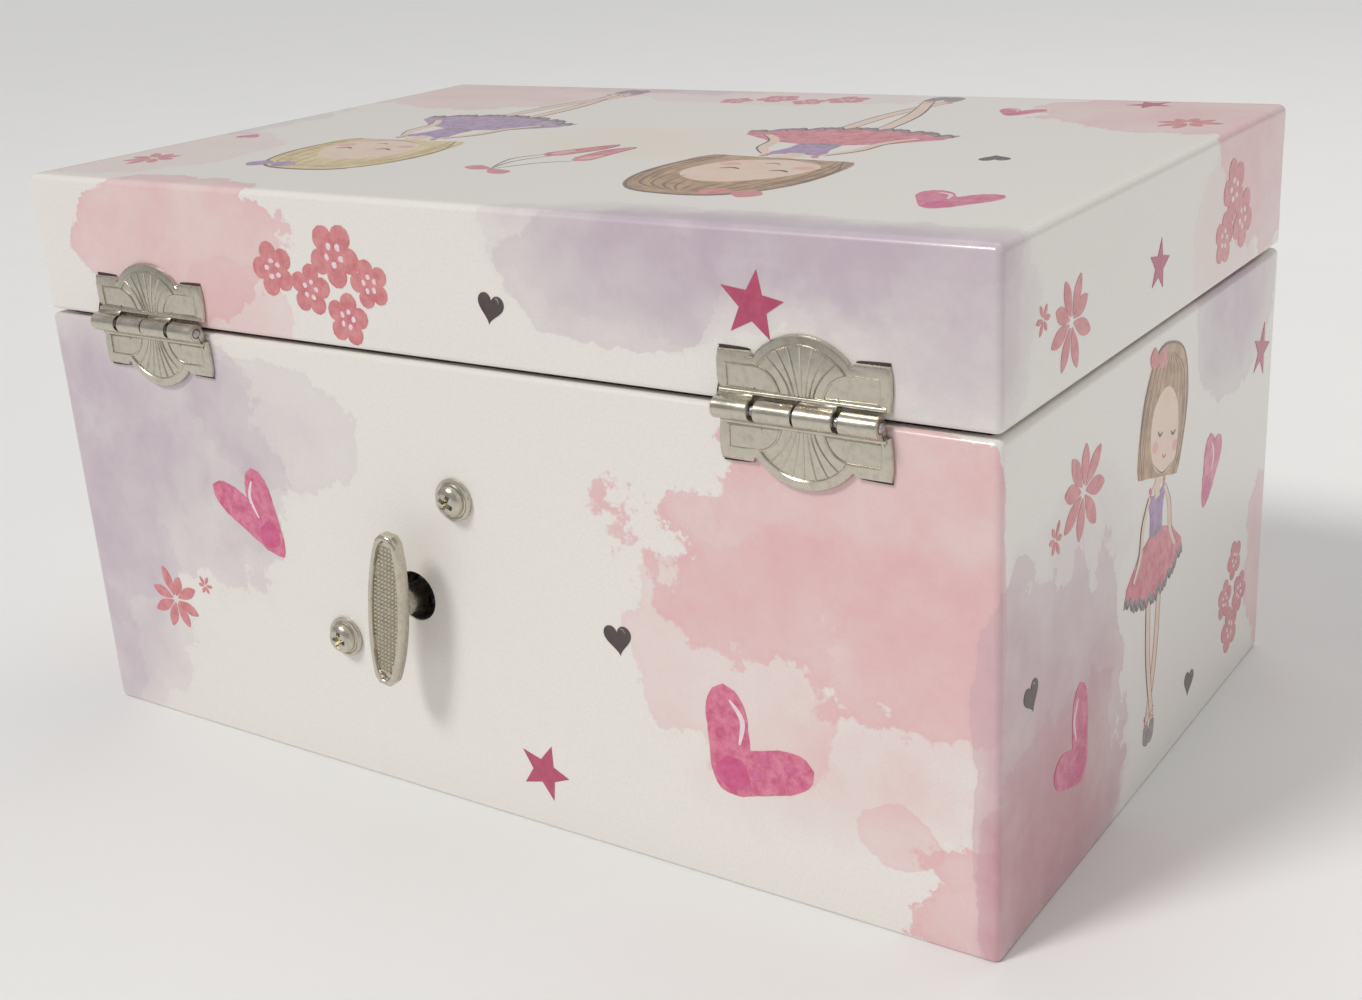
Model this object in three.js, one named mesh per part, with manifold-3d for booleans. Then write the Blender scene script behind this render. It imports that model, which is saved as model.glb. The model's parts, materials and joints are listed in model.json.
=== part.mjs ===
// Ballerina jewellery box: a paper-covered board box with a hinged lid, a wind-up musical
// movement on the inside of its back wall, and a dancer that stands up as the lid opens.
// Millimetres, +Z up. The origin is the middle of the underside; the lid opens at the front (-Y)
// and the hinges, the winding key and the movement's screws are on the back (+Y).
import * as THREE from "three";
import { mergeVertices } from "three/addons/utils/BufferGeometryUtils.js";
import Module from "manifold-3d";

const wasm = await Module();
wasm.setup();

// ---- driving dimensions ----
const WIDTH = 200;
const DEPTH = 128;
const HEIGHT = 110;
const BASE_TOP = 83;
const LID_BOTTOM = 83.8;
const BOARD = 2.5;
const PAPER = 0.5;
const LINING = 0.4;
const GAP = 0.3;
const SHEET_INSET = 1.5; // the paper under the base stops this far from the edges

const HINGE_X = 69.5;
const HINGE_WIDTH = 27.5;
const HINGE_AXIS_Z = (BASE_TOP + LID_BOTTOM) / 2;
const LEAF = 0.7;
const BARREL_R = 1.7;
const BARREL_BORE_R = 0.9;
const HINGE_PIN_R = 0.8;

const KEY_X = 11.5;
const KEY_Z = 39.5;
const KEY_HOLE_R = 4.65;
const KEY_LENGTH = 29;
const KEY_WIDTH = 6.8;
const KEY_THICK = 2.5;
const KEY_FACE = 8.2; // from the back wall to the key's outer face
const ARBOR_FRONT = 47.1; // clear of the pins on the music cylinder
const KEY_TILT = THREE.MathUtils.degToRad(8.6);
const SCREWS = { upper: [-0.3, 59.5], lower: [29.9, 28] };

const PLATFORM_TOP = 66;
const COVER_HALF = 44;
const COVER_FRONT = 14;
const COVER_WALL = 2;
const DIVIDER_TOP = 60;
const DIVIDER = 2;
const RING_BAY_X = -24; // middle of the divider beside the ring rolls
const ROLL_R = 8.4;
const ROLL_COUNT = 4;
const ROLL_Z = 42;

const MODULE = 0.6; // gear module, pitch diameter over teeth
const CYLINDER_Y = 40.2;
const CYLINDER_Z = KEY_Z;
const SPRING_BEND_R = 5.5;
const FIGURE_HEIGHT = 50;
const TUTU_AT = 24;
const TUTU_R = 17.5;
const SPRING_R = 2.4;
const ARM_R = 0.8;

// ---- derived planes ----
const halfX = WIDTH / 2;
const halfY = DEPTH / 2;
const boardX = halfX - PAPER - GAP;
const boardY = halfY - PAPER - GAP;
const innerX = boardX - BOARD;
const innerY = boardY - BOARD;
const liningX = innerX - GAP;
const liningY = innerY - GAP;
const roomX = liningX - LINING;
const roomY = liningY - LINING;
const FLOOR = PAPER + GAP + BOARD;
const hingeY = halfY + GAP + BARREL_R;
const MIRROR_LINING_TOP = HEIGHT - PAPER - GAP - BOARD - GAP;

// ---- materials ----
const finish = (color, roughness, metalness = 0) =>
  new THREE.MeshStandardMaterial({ color, roughness, metalness });
const looks = {
  board: () => finish(0x9a8f80, 0.9),
  print: () => finish(0xf1ebe8, 0.25),
  plainPaper: () => finish(0xf5e9ea, 0.5),
  lining: () => finish(0xf0c9d4, 0.8),
  nickel: () => finish(0xbdb8ae, 0.3, 1),
  steel: () => finish(0x9c9c9c, 0.35, 1),
  brass: () => finish(0xc9a55a, 0.35, 1),
  zinc: () => finish(0x8f9092, 0.5, 0.8),
  plastic: () => finish(0xeeeae0, 0.5),
  velvet: () => finish(0xe9a9bd, 0.95),
  mirror: () => finish(0xdde3e6, 0.05, 1),
  figure: () => finish(0xf3d3c2, 0.4),
  tulle: () => finish(0xf2b7c8, 0.8),
};

// ---- solids ----
function solid(geometry) {
  const g = geometry.clone();
  g.deleteAttribute("normal");
  g.deleteAttribute("uv");
  const merged = mergeVertices(g, 1e-4);
  const index = merged.index.array;
  return new wasm.Manifold(
    new wasm.Mesh({
      numProp: 3,
      vertProperties: new Float32Array(merged.attributes.position.array),
      triVerts: new Uint32Array(index),
    }),
  );
}

function geometryOf(manifold) {
  const mesh = manifold.getMesh();
  const g = new THREE.BufferGeometry();
  g.setAttribute("position", new THREE.BufferAttribute(new Float32Array(mesh.vertProperties), 3));
  g.setIndex(new THREE.BufferAttribute(new Uint32Array(mesh.triVerts), 1));
  g.computeVertexNormals();
  return g;
}

const join = (...geometries) =>
  geometryOf(geometries.map(solid).reduce((whole, piece) => whole.add(piece)));
const cut = (geometry, ...tools) =>
  geometryOf(tools.map(solid).reduce((whole, tool) => whole.subtract(tool), solid(geometry)));

function box(x0, x1, y0, y1, z0, z1) {
  const g = new THREE.BoxGeometry(x1 - x0, y1 - y0, z1 - z0);
  return g.translate((x0 + x1) / 2, (y0 + y1) / 2, (z0 + z1) / 2);
}

// a cylinder from one point to another along X, Y or Z
function rod(axis, radius, from, to, a, b, sides = 16, endRadius = radius) {
  const g = new THREE.CylinderGeometry(endRadius, radius, to - from, sides);
  const middle = (from + to) / 2;
  if (axis === "x") return g.rotateZ(-Math.PI / 2).translate(middle, a, b);
  if (axis === "y") return g.translate(a, middle, b);
  return g.rotateX(Math.PI / 2).translate(a, b, middle);
}

// a plate in the XZ plane between two Y planes, from an outline of [x, z] points
function plateXZ(outline, y0, y1) {
  const shape = new THREE.Shape(outline.map(([x, z]) => new THREE.Vector2(x, z)));
  const g = new THREE.ExtrudeGeometry(shape, { depth: y1 - y0, bevelEnabled: false });
  return g.rotateX(Math.PI / 2).translate(0, y1, 0);
}

// a gear outline turned into a disc along Z, with a tooth on the +X axis unless shifted
function gearDisc(teeth, z0, z1, shift = 0, module = MODULE) {
  const pitch = (teeth * module) / 2;
  const outer = pitch + module * 0.8;
  const root = pitch - module * 1.15;
  const step = (2 * Math.PI) / teeth;
  const outline = [];
  for (let i = 0; i < teeth; i += 1) {
    const at = (i + shift) * step;
    for (const [turn, radius] of [[-0.27, root], [-0.1, outer], [0.1, outer], [0.27, root]]) {
      const angle = at + turn * step;
      outline.push(new THREE.Vector2(radius * Math.cos(angle), radius * Math.sin(angle)));
    }
  }
  const shape = new THREE.Shape(outline);
  return new THREE.ExtrudeGeometry(shape, { depth: z1 - z0, bevelEnabled: false }).translate(0, 0, z0);
}

// a ring of face teeth standing on z0, up to z1, round the Z axis
function crownTeeth(teeth, inner, outer, z0, z1, shift = 0) {
  const step = (2 * Math.PI) / teeth;
  const found = [];
  for (let i = 0; i < teeth; i += 1) {
    const tooth = box(inner, outer, -0.27, 0.27, z0, z1);
    found.push(tooth.rotateZ((i + shift) * step));
  }
  return found;
}

function lathe(profile, sides = 24) {
  return new THREE.LatheGeometry(profile.map(([r, z]) => new THREE.Vector2(r, z)), sides);
}

// a round bar along a smooth curve through the given points
function alongCurve(points, radius, sides, steps) {
  const section = new THREE.Shape(
    Array.from({ length: sides }, (_, i) => {
      const angle = (i * 2 * Math.PI) / sides;
      return new THREE.Vector2(radius * Math.cos(angle), radius * Math.sin(angle));
    }),
  );
  const extrudePath = new THREE.CatmullRomCurve3(points);
  return new THREE.ExtrudeGeometry(section, { steps, extrudePath, bevelEnabled: false });
}

// a left-handed thread round the Y axis, halfway between two turns where it faces -Z at y 0
function leftThread(pitch, turns, inner, outer, halfRoot, halfTip) {
  const sides = 16;
  const profile = [[inner, -halfRoot], [outer, -halfTip], [outer, halfTip], [inner, halfRoot]];
  const places = [];
  const index = [];
  const rows = turns * sides;
  for (let i = 0; i <= rows; i += 1) {
    const angle = (2 * Math.PI * i) / sides;
    const along = pitch * (turns / 2 - i / sides);
    for (const [r, y] of profile) {
      places.push(r * Math.sin(angle), along + y, r * Math.cos(angle));
    }
  }
  for (let i = 0; i < rows; i += 1) {
    for (let k = 0; k < 4; k += 1) {
      const a = 4 * i + k;
      const b = 4 * i + ((k + 1) % 4);
      index.push(a, b + 4, b, a, a + 4, b + 4);
    }
  }
  const last = 4 * rows;
  index.push(0, 1, 2, 0, 2, 3, last, last + 2, last + 1, last, last + 3, last + 2);
  const g = new THREE.BufferGeometry();
  g.setAttribute("position", new THREE.Float32BufferAttribute(places, 3));
  g.setIndex(index);
  return g;
}

const part = new THREE.Group();
function add(name, geometry, material) {
  const mesh = new THREE.Mesh(geometry, material());
  mesh.name = name;
  part.add(mesh);
  return mesh;
}

// ---- holes through the back wall ----
const wallHoles = () => [
  rod("y", KEY_HOLE_R, roomY - 2, halfY + 2, KEY_X, KEY_Z, 32),
  ...Object.values(SCREWS).map(([x, z]) => rod("y", 1.8, roomY - 2, halfY + 2, x, z, 12)),
];

// ---- base: boards, outer paper, inner paper ----
function base() {
  const wallFoot = FLOOR + GAP;
  const wallTop = BASE_TOP - PAPER - GAP;
  const sheetX = halfX - SHEET_INSET;
  const sheetY = halfY - SHEET_INSET;
  add("bottom_sheet", box(-sheetX, sheetX, -sheetY, sheetY, 0, PAPER), looks.plainPaper);
  add("base_bottom_board", box(-boardX, boardX, -boardY, boardY, PAPER + GAP, FLOOR), looks.board);
  add("base_front_board", box(-boardX, boardX, -boardY, -innerY, wallFoot, wallTop), looks.board);
  const back = cut(box(-boardX, boardX, innerY, boardY, wallFoot, wallTop), ...wallHoles());
  add("base_back_board", back, looks.board);
  const side = innerY - GAP;
  add("base_left_board", box(-boardX, -innerX, -side, side, wallFoot, wallTop), looks.board);
  add("base_right_board", box(innerX, boardX, -side, side, wallFoot, wallTop), looks.board);

  const skin = cut(
    box(-halfX, halfX, -halfY, halfY, 0, BASE_TOP),
    box(-halfX + PAPER, halfX - PAPER, -halfY + PAPER, halfY - PAPER, -1, BASE_TOP - PAPER),
    box(-innerX, innerX, -innerY, innerY, 1, BASE_TOP + 1),
    ...wallHoles(),
  );
  add("base_printed_paper", skin, looks.print);

  const inside = cut(
    box(-liningX, liningX, -liningY, liningY, FLOOR + GAP, BASE_TOP - 1),
    box(-roomX, roomX, -roomY, roomY, FLOOR, BASE_TOP),
    ...wallHoles(),
  );
  add("base_wall_lining", inside, looks.lining);
}

// ---- lid: boards, outer paper, inner paper, mirror ----
function lid() {
  const wallFoot = LID_BOTTOM + PAPER + GAP;
  const topFoot = HEIGHT - PAPER - GAP - BOARD;
  const top = topFoot - GAP;
  add("lid_top_board", box(-boardX, boardX, -boardY, boardY, topFoot, topFoot + BOARD), looks.board);
  const side = innerY - GAP;
  add("lid_front_board", box(-boardX, boardX, -boardY, -innerY, wallFoot, top), looks.board);
  add("lid_back_board", box(-boardX, boardX, innerY, boardY, wallFoot, top), looks.board);
  add("lid_left_board", box(-boardX, -innerX, -side, side, wallFoot, top), looks.board);
  add("lid_right_board", box(innerX, boardX, -side, side, wallFoot, top), looks.board);

  const skin = cut(
    box(-halfX, halfX, -halfY, halfY, LID_BOTTOM, HEIGHT),
    box(-halfX + PAPER, halfX - PAPER, -halfY + PAPER, halfY - PAPER, LID_BOTTOM + PAPER, HEIGHT - PAPER),
    box(-innerX, innerX, -innerY, innerY, LID_BOTTOM - 1, LID_BOTTOM + 2),
  );
  add("lid_printed_paper", skin, looks.print);

  const liningTop = MIRROR_LINING_TOP;
  const panel = 1;
  const inside = cut(
    box(-liningX, liningX, -liningY, liningY, LID_BOTTOM + 1, liningTop - panel - GAP),
    box(-roomX, roomX, -roomY, roomY, LID_BOTTOM, liningTop),
  );
  add("lid_wall_lining", inside, looks.lining);
  add("lid_lining_panel", box(-roomX, roomX, -roomY, roomY, liningTop - panel, liningTop), looks.lining);

  const glassTop = liningTop - panel - GAP;
  const glass = 1.8;
  const mirrorX = 74;
  const mirrorY = 44;
  add("mirror", box(-mirrorX, mirrorX, -mirrorY, mirrorY, glassTop - glass, glassTop), looks.mirror);
  const frameTop = glassTop - glass - GAP;
  const frame = cut(
    box(-mirrorX - 7, mirrorX + 7, -mirrorY - 7, mirrorY + 7, frameTop - 0.8, frameTop),
    box(-mirrorX + 4, mirrorX - 4, -mirrorY + 4, mirrorY - 4, frameTop - 2, frameTop + 1),
  );
  add("mirror_frame", frame, looks.plainPaper);
  return glassTop + GAP;
}

// ---- hinges: two equal stampings rolled round one pin ----
function leafOutline(sign) {
  const half = HINGE_WIDTH / 2;
  const shoulder = 8.5;
  const arcR = 10.6;
  const arcZ = 1.1;
  const points = [[-half, 0], [-half - 0.35, 4.5], [-half + 0.5, shoulder], [-9.4, shoulder]];
  const start = Math.acos(8.7 / arcR);
  const steps = 12;
  for (let i = 0; i <= steps; i += 1) {
    const angle = Math.PI - start - ((Math.PI - 2 * start) * i) / steps;
    points.push([arcR * Math.cos(angle), arcZ + arcR * Math.sin(angle)]);
  }
  points.push([9.4, shoulder], [half - 0.5, shoulder], [half + 0.35, 4.5], [half, 0]);
  const turned = points.map(([x, z]) => [x, sign * z]);
  return sign > 0 ? turned.reverse() : turned;
}

// the knuckles, left to right seen from behind, belong to the upper and lower leaf in turn
const KNUCKLES = [[0, 6.35], [7.2, 6.45], [13.85, 6.45], [21.15, 6.35]];

function hinge(side, x) {
  for (const [name, sign, mine] of [["upper", 1, [0, 2]], ["lower", -1, [1, 3]]]) {
    const plate = plateXZ(leafOutline(sign), halfY + GAP, halfY + GAP + LEAF);
    const right = HINGE_WIDTH / 2;
    const rolls = mine.map((i) => {
      const [from, long] = KNUCKLES[i];
      return rod("x", BARREL_R, right - from - long, right - from, hingeY, 0, 20);
    });
    const clearance = [0, 1, 2, 3].filter((i) => !mine.includes(i)).map((i) => {
      const [from, long] = KNUCKLES[i];
      const low = right - from - long - 0.2;
      const high = right - from + 0.2;
      return box(low, high, halfY, hingeY + 2, -BARREL_R - 0.25, BARREL_R + 0.25);
    });
    const joined = join(plate, ...rolls);
    const bore = rod("x", BARREL_BORE_R, -20, 20, hingeY, 0, 16);
    const leaf = cut(joined, ...clearance, bore);
    add(`${side}_hinge_${name}_leaf`, leaf.translate(x, 0, HINGE_AXIS_Z), looks.nickel);
  }
  const half = HINGE_WIDTH / 2 - 0.2;
  add(`${side}_hinge_pin`, rod("x", HINGE_PIN_R, x - half, x + half, hingeY, HINGE_AXIS_Z, 16), looks.steel);
}

// ---- winding key, arbor and the screws that hold the movement ----
function keyOutline(scale = 1, inset = 0) {
  const points = [];
  const steps = 14;
  const half = KEY_LENGTH / 2 - inset;
  const wide = KEY_WIDTH / 2 - inset * 0.8;
  for (const sign of [1, -1]) {
    for (let i = 0; i < steps; i += 1) {
      const t = -1 + (2 * i) / steps;
      const bulge = 0.34 + 0.66 * Math.cos((t * Math.PI) / 2) ** 0.8;
      points.push([sign * wide * bulge * scale, sign * t * half * scale]);
    }
  }
  return points;
}

function windingKey() {
  const face = halfY + KEY_FACE;
  const back = face - KEY_THICK;
  const slab = plateXZ(keyOutline(), back, face);
  const recess = plateXZ(keyOutline(1, 1.1), face - 0.6, face + 1);
  const boss = rod("y", 2.9, halfY + 1.6, back + 0.3, 0, 0, 20, 2.6);
  const bore = rod("y", 1.75, halfY, back - 0.4, 0, 0, 12);
  const shape = cut(join(cut(slab, recess), boss), bore);
  add("winding_key", shape.rotateY(-KEY_TILT).translate(KEY_X, 0, KEY_Z), looks.nickel);
  const arbor = join(
    rod("y", 1.45, ARBOR_FRONT, back - 0.8, KEY_X, KEY_Z, 12),
    rod("y", 3.2, 49.6, 54.6, KEY_X, KEY_Z, 16),
  );
  add("winding_arbor", arbor, looks.steel);
}

function movementScrew(name, [x, z]) {
  const seat = halfY + GAP;
  const flange = rod("y", 4.4, seat, seat + 0.7, 0, 0, 24);
  const head = rod("y", 2.9, seat + 0.5, seat + 2.2, 0, 0, 20, 2.2);
  const shank = rod("y", 1.3, 55.4, seat + 0.2, 0, 0, 12);
  const slots = [0, Math.PI / 2].map((turn) =>
    box(-1.5, 1.5, seat + 1.3, seat + 3, -0.3, 0.3).rotateY(turn + 0.4),
  );
  const shape = cut(join(flange, head, shank), ...slots);
  add(name, shape.translate(x, 0, z), looks.nickel);
}

// ---- musical movement ----
const BED = { x0: -10.2, x1: 39.8, y0: 57.2, y1: roomY - GAP, z0: 19, z1: 63.7 };
const SHAFT_R = 1.3;
const cylinderTeeth = 24;
const governorTeeth = 12;
const barrelTeeth = 36;
const shaftTeeth = 24;
const spindleTeeth = 20;
const wormTeeth = 16;
const pitchR = (teeth) => (teeth * MODULE) / 2;
const GEAR_X = KEY_X + 10.25; // the cylinder's gear meets the barrel's face teeth here
const governorZ = CYLINDER_Z + pitchR(cylinderTeeth) + pitchR(governorTeeth) + 0.15;
const BARREL_Y = 48;
const WORM_X = 32.3;
const wormZ = governorZ + pitchR(wormTeeth) + 1.9;
const WORM_R = 2.2;
const BRAKE_R = 4.1;
const SHAFT_PINION_X = -12.2;
const transferX = SHAFT_PINION_X + pitchR(shaftTeeth);
const transferZ = CYLINDER_Z + pitchR(shaftTeeth) + MODULE * 0.8 - 0.5;
const spindleReach = pitchR(shaftTeeth) + pitchR(spindleTeeth) + 0.1;
const spindleY = CYLINDER_Y - Math.sqrt(spindleReach ** 2 - transferX ** 2);

function onShaft(geometry, x, y, z) {
  return geometry.rotateY(Math.PI / 2).translate(x, y, z);
}

function movement() {
  const posts = [
    box(BED.x0, BED.x0 + 2, CYLINDER_Y - 3.4, BED.y0 + 1, CYLINDER_Z - 3, CYLINDER_Z + 3),
    box(25.5, 27.5, CYLINDER_Y - 3.4, BED.y0 + 1, CYLINDER_Z - 3, CYLINDER_Z + 3),
    box(-8, 19, 41, BED.y0 + 1, 20, 26.5),
  ];
  const screwHoles = Object.values(SCREWS).map(([x, z]) => rod("y", 1.6, 50, 62, x, z, 12));
  const bed = cut(
    join(box(BED.x0, BED.x1, BED.y0, BED.y1, BED.z0, BED.z1), ...posts),
    rod("x", SHAFT_R + 0.15, -20, 35, CYLINDER_Y, CYLINDER_Z, 12),
    rod("y", 2.1, 50, 62, KEY_X, KEY_Z, 16),
    ...[0, 11].map((x) => rod("y", 1.2, 36, 50, x, 23.2, 12)),
    ...screwHoles,
  );
  add("movement_bedplate", bed, looks.zinc);

  // mainspring barrel, open on the bedplate side, with face teeth towards the cylinder
  const drumLine = [[3.6, 0], [12, 0], [12, 8.6], [11, 8.6], [11, 1.2], [3.6, 1.2], [3.6, 0]];
  const drum = lathe(drumLine, 36).translate(0, BARREL_Y, 0);
  // half a tooth of shift puts a gap where the cylinder's gear reaches in
  const face = crownTeeth(barrelTeeth, 9.1, 11.5, -1.2, 0.3, 0.5).map((g) =>
    g.rotateX(-Math.PI / 2).translate(0, BARREL_Y, 0),
  );
  add("spring_barrel", join(drum, ...face).translate(KEY_X, 0, KEY_Z), looks.brass);

  // cylinder with its pins, and the shaft that carries the gear and the pinion
  const drumR = 5.8;
  const pins = [];
  const notes = 18;
  for (let i = 0; i < notes; i += 1) {
    const turn = i * 2.399963; // golden angle spreads the pins over the drum
    const x = -4.9 + (i % notes) * 1.2;
    pins.push(box(x - 0.2, x + 0.2, -0.25, 0.25, drumR - 0.3, drumR + 0.5).rotateX(turn));
  }
  const drumSolid = rod("x", drumR, -6, 17, 0, 0, 32);
  const shaft = rod("x", SHAFT_R, -14, 28.5, 0, 0, 12);
  add("music_cylinder", join(drumSolid, shaft, ...pins).translate(0, CYLINDER_Y, CYLINDER_Z), looks.brass);
  // one tooth points at the barrel and one up at the gap in the governor's pinion
  const hole = new THREE.CylinderGeometry(SHAFT_R + GAP, SHAFT_R + GAP, 20, 12).rotateX(Math.PI / 2);
  const gear = cut(gearDisc(cylinderTeeth, -1.2, 1.2, 0), hole);
  add("cylinder_gear", onShaft(gear.rotateZ(Math.PI / 2), GEAR_X, CYLINDER_Y, CYLINDER_Z), looks.plastic);
  const pinion = cut(gearDisc(shaftTeeth, -1, 1, 0), hole);
  const driver = onShaft(pinion.rotateZ(Math.PI / 2), SHAFT_PINION_X, CYLINDER_Y, CYLINDER_Z);
  add("spindle_drive_pinion", driver, looks.plastic);

  // comb: a steel plate cut into 18 tongues, and its two screws
  const tip = CYLINDER_Z - drumR - 0.8;
  const outline = [[-6.2, 20], [16.9, 20]];
  for (let i = notes - 1; i >= 0; i -= 1) {
    const x = -4.9 + i * 1.2;
    const root = 27.5 + i * 0.08;
    outline.push([x + 0.45, i === notes - 1 ? 27.5 : root]);
    outline.push([x + 0.42, tip], [x - 0.42, tip], [x - 0.45, root]);
  }
  const comb = cut(
    plateXZ(outline, CYLINDER_Y - 0.5, CYLINDER_Y + 0.5),
    ...[0, 11].map((x) => rod("y", 1.3, 36, 50, x, 23.2, 12)),
  );
  add("comb", comb, looks.steel);
  [0, 11].forEach((x, i) => {
    const screw = join(rod("y", 2, 38.2, 39.4, x, 23.2, 16), rod("y", 0.9, 39.2, 46, x, 23.2, 12));
    add(`comb_screw_${i + 1}`, screw, looks.steel);
  });

  // governor: step-up wheel, worm with its air brake, and the bracket that holds both
  const wheelShaft = rod("x", 1.1, 19.6, 38, 0, 0, 12);
  const stepUp = onShaft(gearDisc(governorTeeth, -1.2, 1.2, 0.5).rotateZ(-Math.PI / 2), GEAR_X, 0, 0);
  const wormWheel = onShaft(gearDisc(wormTeeth, -0.9, 0.9, 0).rotateZ(Math.PI / 2), WORM_X, 0, 0);
  const wheels = join(wheelShaft, stepUp, wormWheel);
  add("governor_wheel", wheels.translate(0, CYLINDER_Y, governorZ), looks.plastic);

  const thread = leftThread(Math.PI * MODULE, 4, 0.8, WORM_R, 0.34, 0.2).translate(0, CYLINDER_Y, 0);
  const brake = [0, 1].map((i) => box(i ? 0.5 : -BRAKE_R, i ? BRAKE_R : -0.5, 46.6, 50.4, -0.3, 0.3));
  const worm = join(rod("y", 1.1, 34.6, 55.2, 0, 0, 12), thread, ...brake);
  add("governor_worm_and_fly", worm.translate(WORM_X, 0, wormZ), looks.steel);

  const bracket = cut(
    join(
      box(28.4, 30, CYLINDER_Y - 6, BED.y0 - GAP, governorZ - 3, governorZ + 3),
      box(35.6, 37.2, CYLINDER_Y - 6, BED.y0 - GAP, governorZ - 3, governorZ + 3),
      box(28.4, 37.2, 52.2, 53.8, governorZ - 3, wormZ + 2.4),
      box(28.4, 37.2, CYLINDER_Y - 7.6, CYLINDER_Y - 6.1 + 0.3, governorZ - 3, wormZ + 2.4),
    ),
    rod("x", 1.3, 20, 45, CYLINDER_Y, governorZ, 12),
    rod("y", 1.3, 33.9, 60, WORM_X, wormZ, 12),
  );
  add("governor_bracket", bracket, looks.zinc);
}

// ---- drive up to the dancer ----
function dancerDrive() {
  const bodyFoot = transferZ + 1.2;
  const bodyTop = bodyFoot + 2.3;
  const armFoot = bodyTop + 1.5;
  const armTop = armFoot + 2.5;
  const towards = Math.atan2(spindleY - CYLINDER_Y, -transferX);
  // the wheel's spur teeth are turned so that one points at the spindle's gear
  const spur = gearDisc(shaftTeeth, bodyFoot, bodyTop, 0).rotateZ(towards);
  // and its face teeth so that a gap lies over the pinion
  const crown = crownTeeth(shaftTeeth, 6.3, 7.7, transferZ, bodyFoot + 0.2, 0.5);
  const stub = rod("z", 1.2, bodyTop - 0.2, armTop - 0.3, 0, 0, 12);
  add("transfer_wheel", join(spur, stub, ...crown).translate(transferX, CYLINDER_Y, 0), looks.plastic);

  const gap = towards + Math.PI;
  const own = gearDisc(spindleTeeth, bodyFoot, bodyTop, 0.5).rotateZ(gap);
  const bored = cut(own, rod("z", 1.5 + GAP, 0, 90, 0, 0, 12));
  add("spindle_gear", bored.translate(0, spindleY, 0), looks.plastic);
  const spindle = join(
    rod("z", 1.5, bodyFoot - 1.2, PLATFORM_TOP + 1, 0, 0, 12),
    rod("z", 5, PLATFORM_TOP + GAP, PLATFORM_TOP + 1.5, 0, 0, 28, 4.6),
  );
  add("dancer_spindle", spindle.translate(0, spindleY, 0), looks.plastic);

  const arm = cut(
    join(
      box(transferX - 4, 5, spindleY - 5, BED.y0 - GAP, armFoot, armTop),
      box(transferX - 4, 5, BED.y0 - GAP - 2, BED.y0 - GAP, armFoot - 1, armTop + 2.5),
    ),
    rod("z", 1.45, 40, 64, transferX, CYLINDER_Y, 12),
    rod("z", 1.75, 40, 64, 0, spindleY, 12),
  );
  add("spindle_arm", arm, looks.plastic);
}

// ---- stop wire: held down by the closed lid ----
function stopWire(lidInside) {
  const wire = join(
    rod("z", 0.6, wormZ + 5.3, lidInside - 1 - GAP, 0, 0, 10),
    rod("z", 1.6, lidInside - 5, lidInside - 1, 0, 0, 16, 1.2),
  );
  add("stop_wire", wire.translate(WORM_X, 56, 0), looks.steel);
}

// ---- inside of the base ----
function fittings() {
  const coverBack = roomY - GAP;
  const floor = FLOOR + GAP;
  const hollow = COVER_HALF - COVER_WALL;
  const cover = cut(
    box(-COVER_HALF, COVER_HALF, COVER_FRONT, coverBack, floor, PLATFORM_TOP),
    box(-hollow, hollow, COVER_FRONT + COVER_WALL, coverBack + 1, floor - 1, PLATFORM_TOP - COVER_WALL),
    rod("z", 2.6, 60, 70, 0, spindleY, 24),
    rod("z", 1.6, 60, 70, WORM_X, 56, 12),
  );
  add("mechanism_cover", cover, looks.lining);

  const rearY = COVER_FRONT + DIVIDER / 2;
  const wall = roomX - GAP;
  const rearBays = [["left", -wall, -COVER_HALF - GAP], ["right", COVER_HALF + GAP, wall]];
  for (const [side, x0, x1] of rearBays) {
    const divider = box(x0, x1, rearY - DIVIDER / 2, rearY + DIVIDER / 2, floor, DIVIDER_TOP);
    add(`${side}_rear_divider`, divider, looks.lining);
    const pad = box(x0 + 0.3, x1 - 0.3, rearY + DIVIDER / 2 + 0.4, coverBack - 0.3, floor, floor + 3);
    add(`${side}_rear_pad`, pad, looks.velvet);
  }
  const frontEdge = -roomY + GAP;
  const frontBack = COVER_FRONT - GAP;
  const divider = box(RING_BAY_X - 1, RING_BAY_X + 1, frontEdge, frontBack, floor, DIVIDER_TOP);
  add("front_divider", divider, looks.lining);
  const pad = box(RING_BAY_X + 1.6, wall - 0.3, frontEdge + 0.4, frontBack - 0.4, floor, floor + 3);
  add("front_pad", pad, looks.velvet);

  // folded card shelf under the ring rolls
  const bayX0 = -wall;
  const bayX1 = RING_BAY_X - 1 - GAP;
  const shelfTop = ROLL_Z - ROLL_R - GAP;
  const shelf = cut(
    box(bayX0, bayX1, frontEdge, frontBack, floor, shelfTop),
    box(bayX0 - 1, bayX1 + 1, frontEdge + 1.5, frontBack - 1.5, floor - 1, shelfTop - 1.5),
  );
  add("ring_roll_shelf", shelf, looks.lining);
  const pitch = (frontBack - frontEdge) / ROLL_COUNT;
  for (let i = 0; i < ROLL_COUNT; i += 1) {
    const y = frontEdge + pitch * (i + 0.5);
    const roll = rod("x", ROLL_R, bayX0 + 0.4, bayX1 - 0.4, y, ROLL_Z, 20);
    add(`ring_roll_${i + 1}`, roll, looks.velvet);
  }
}

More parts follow.
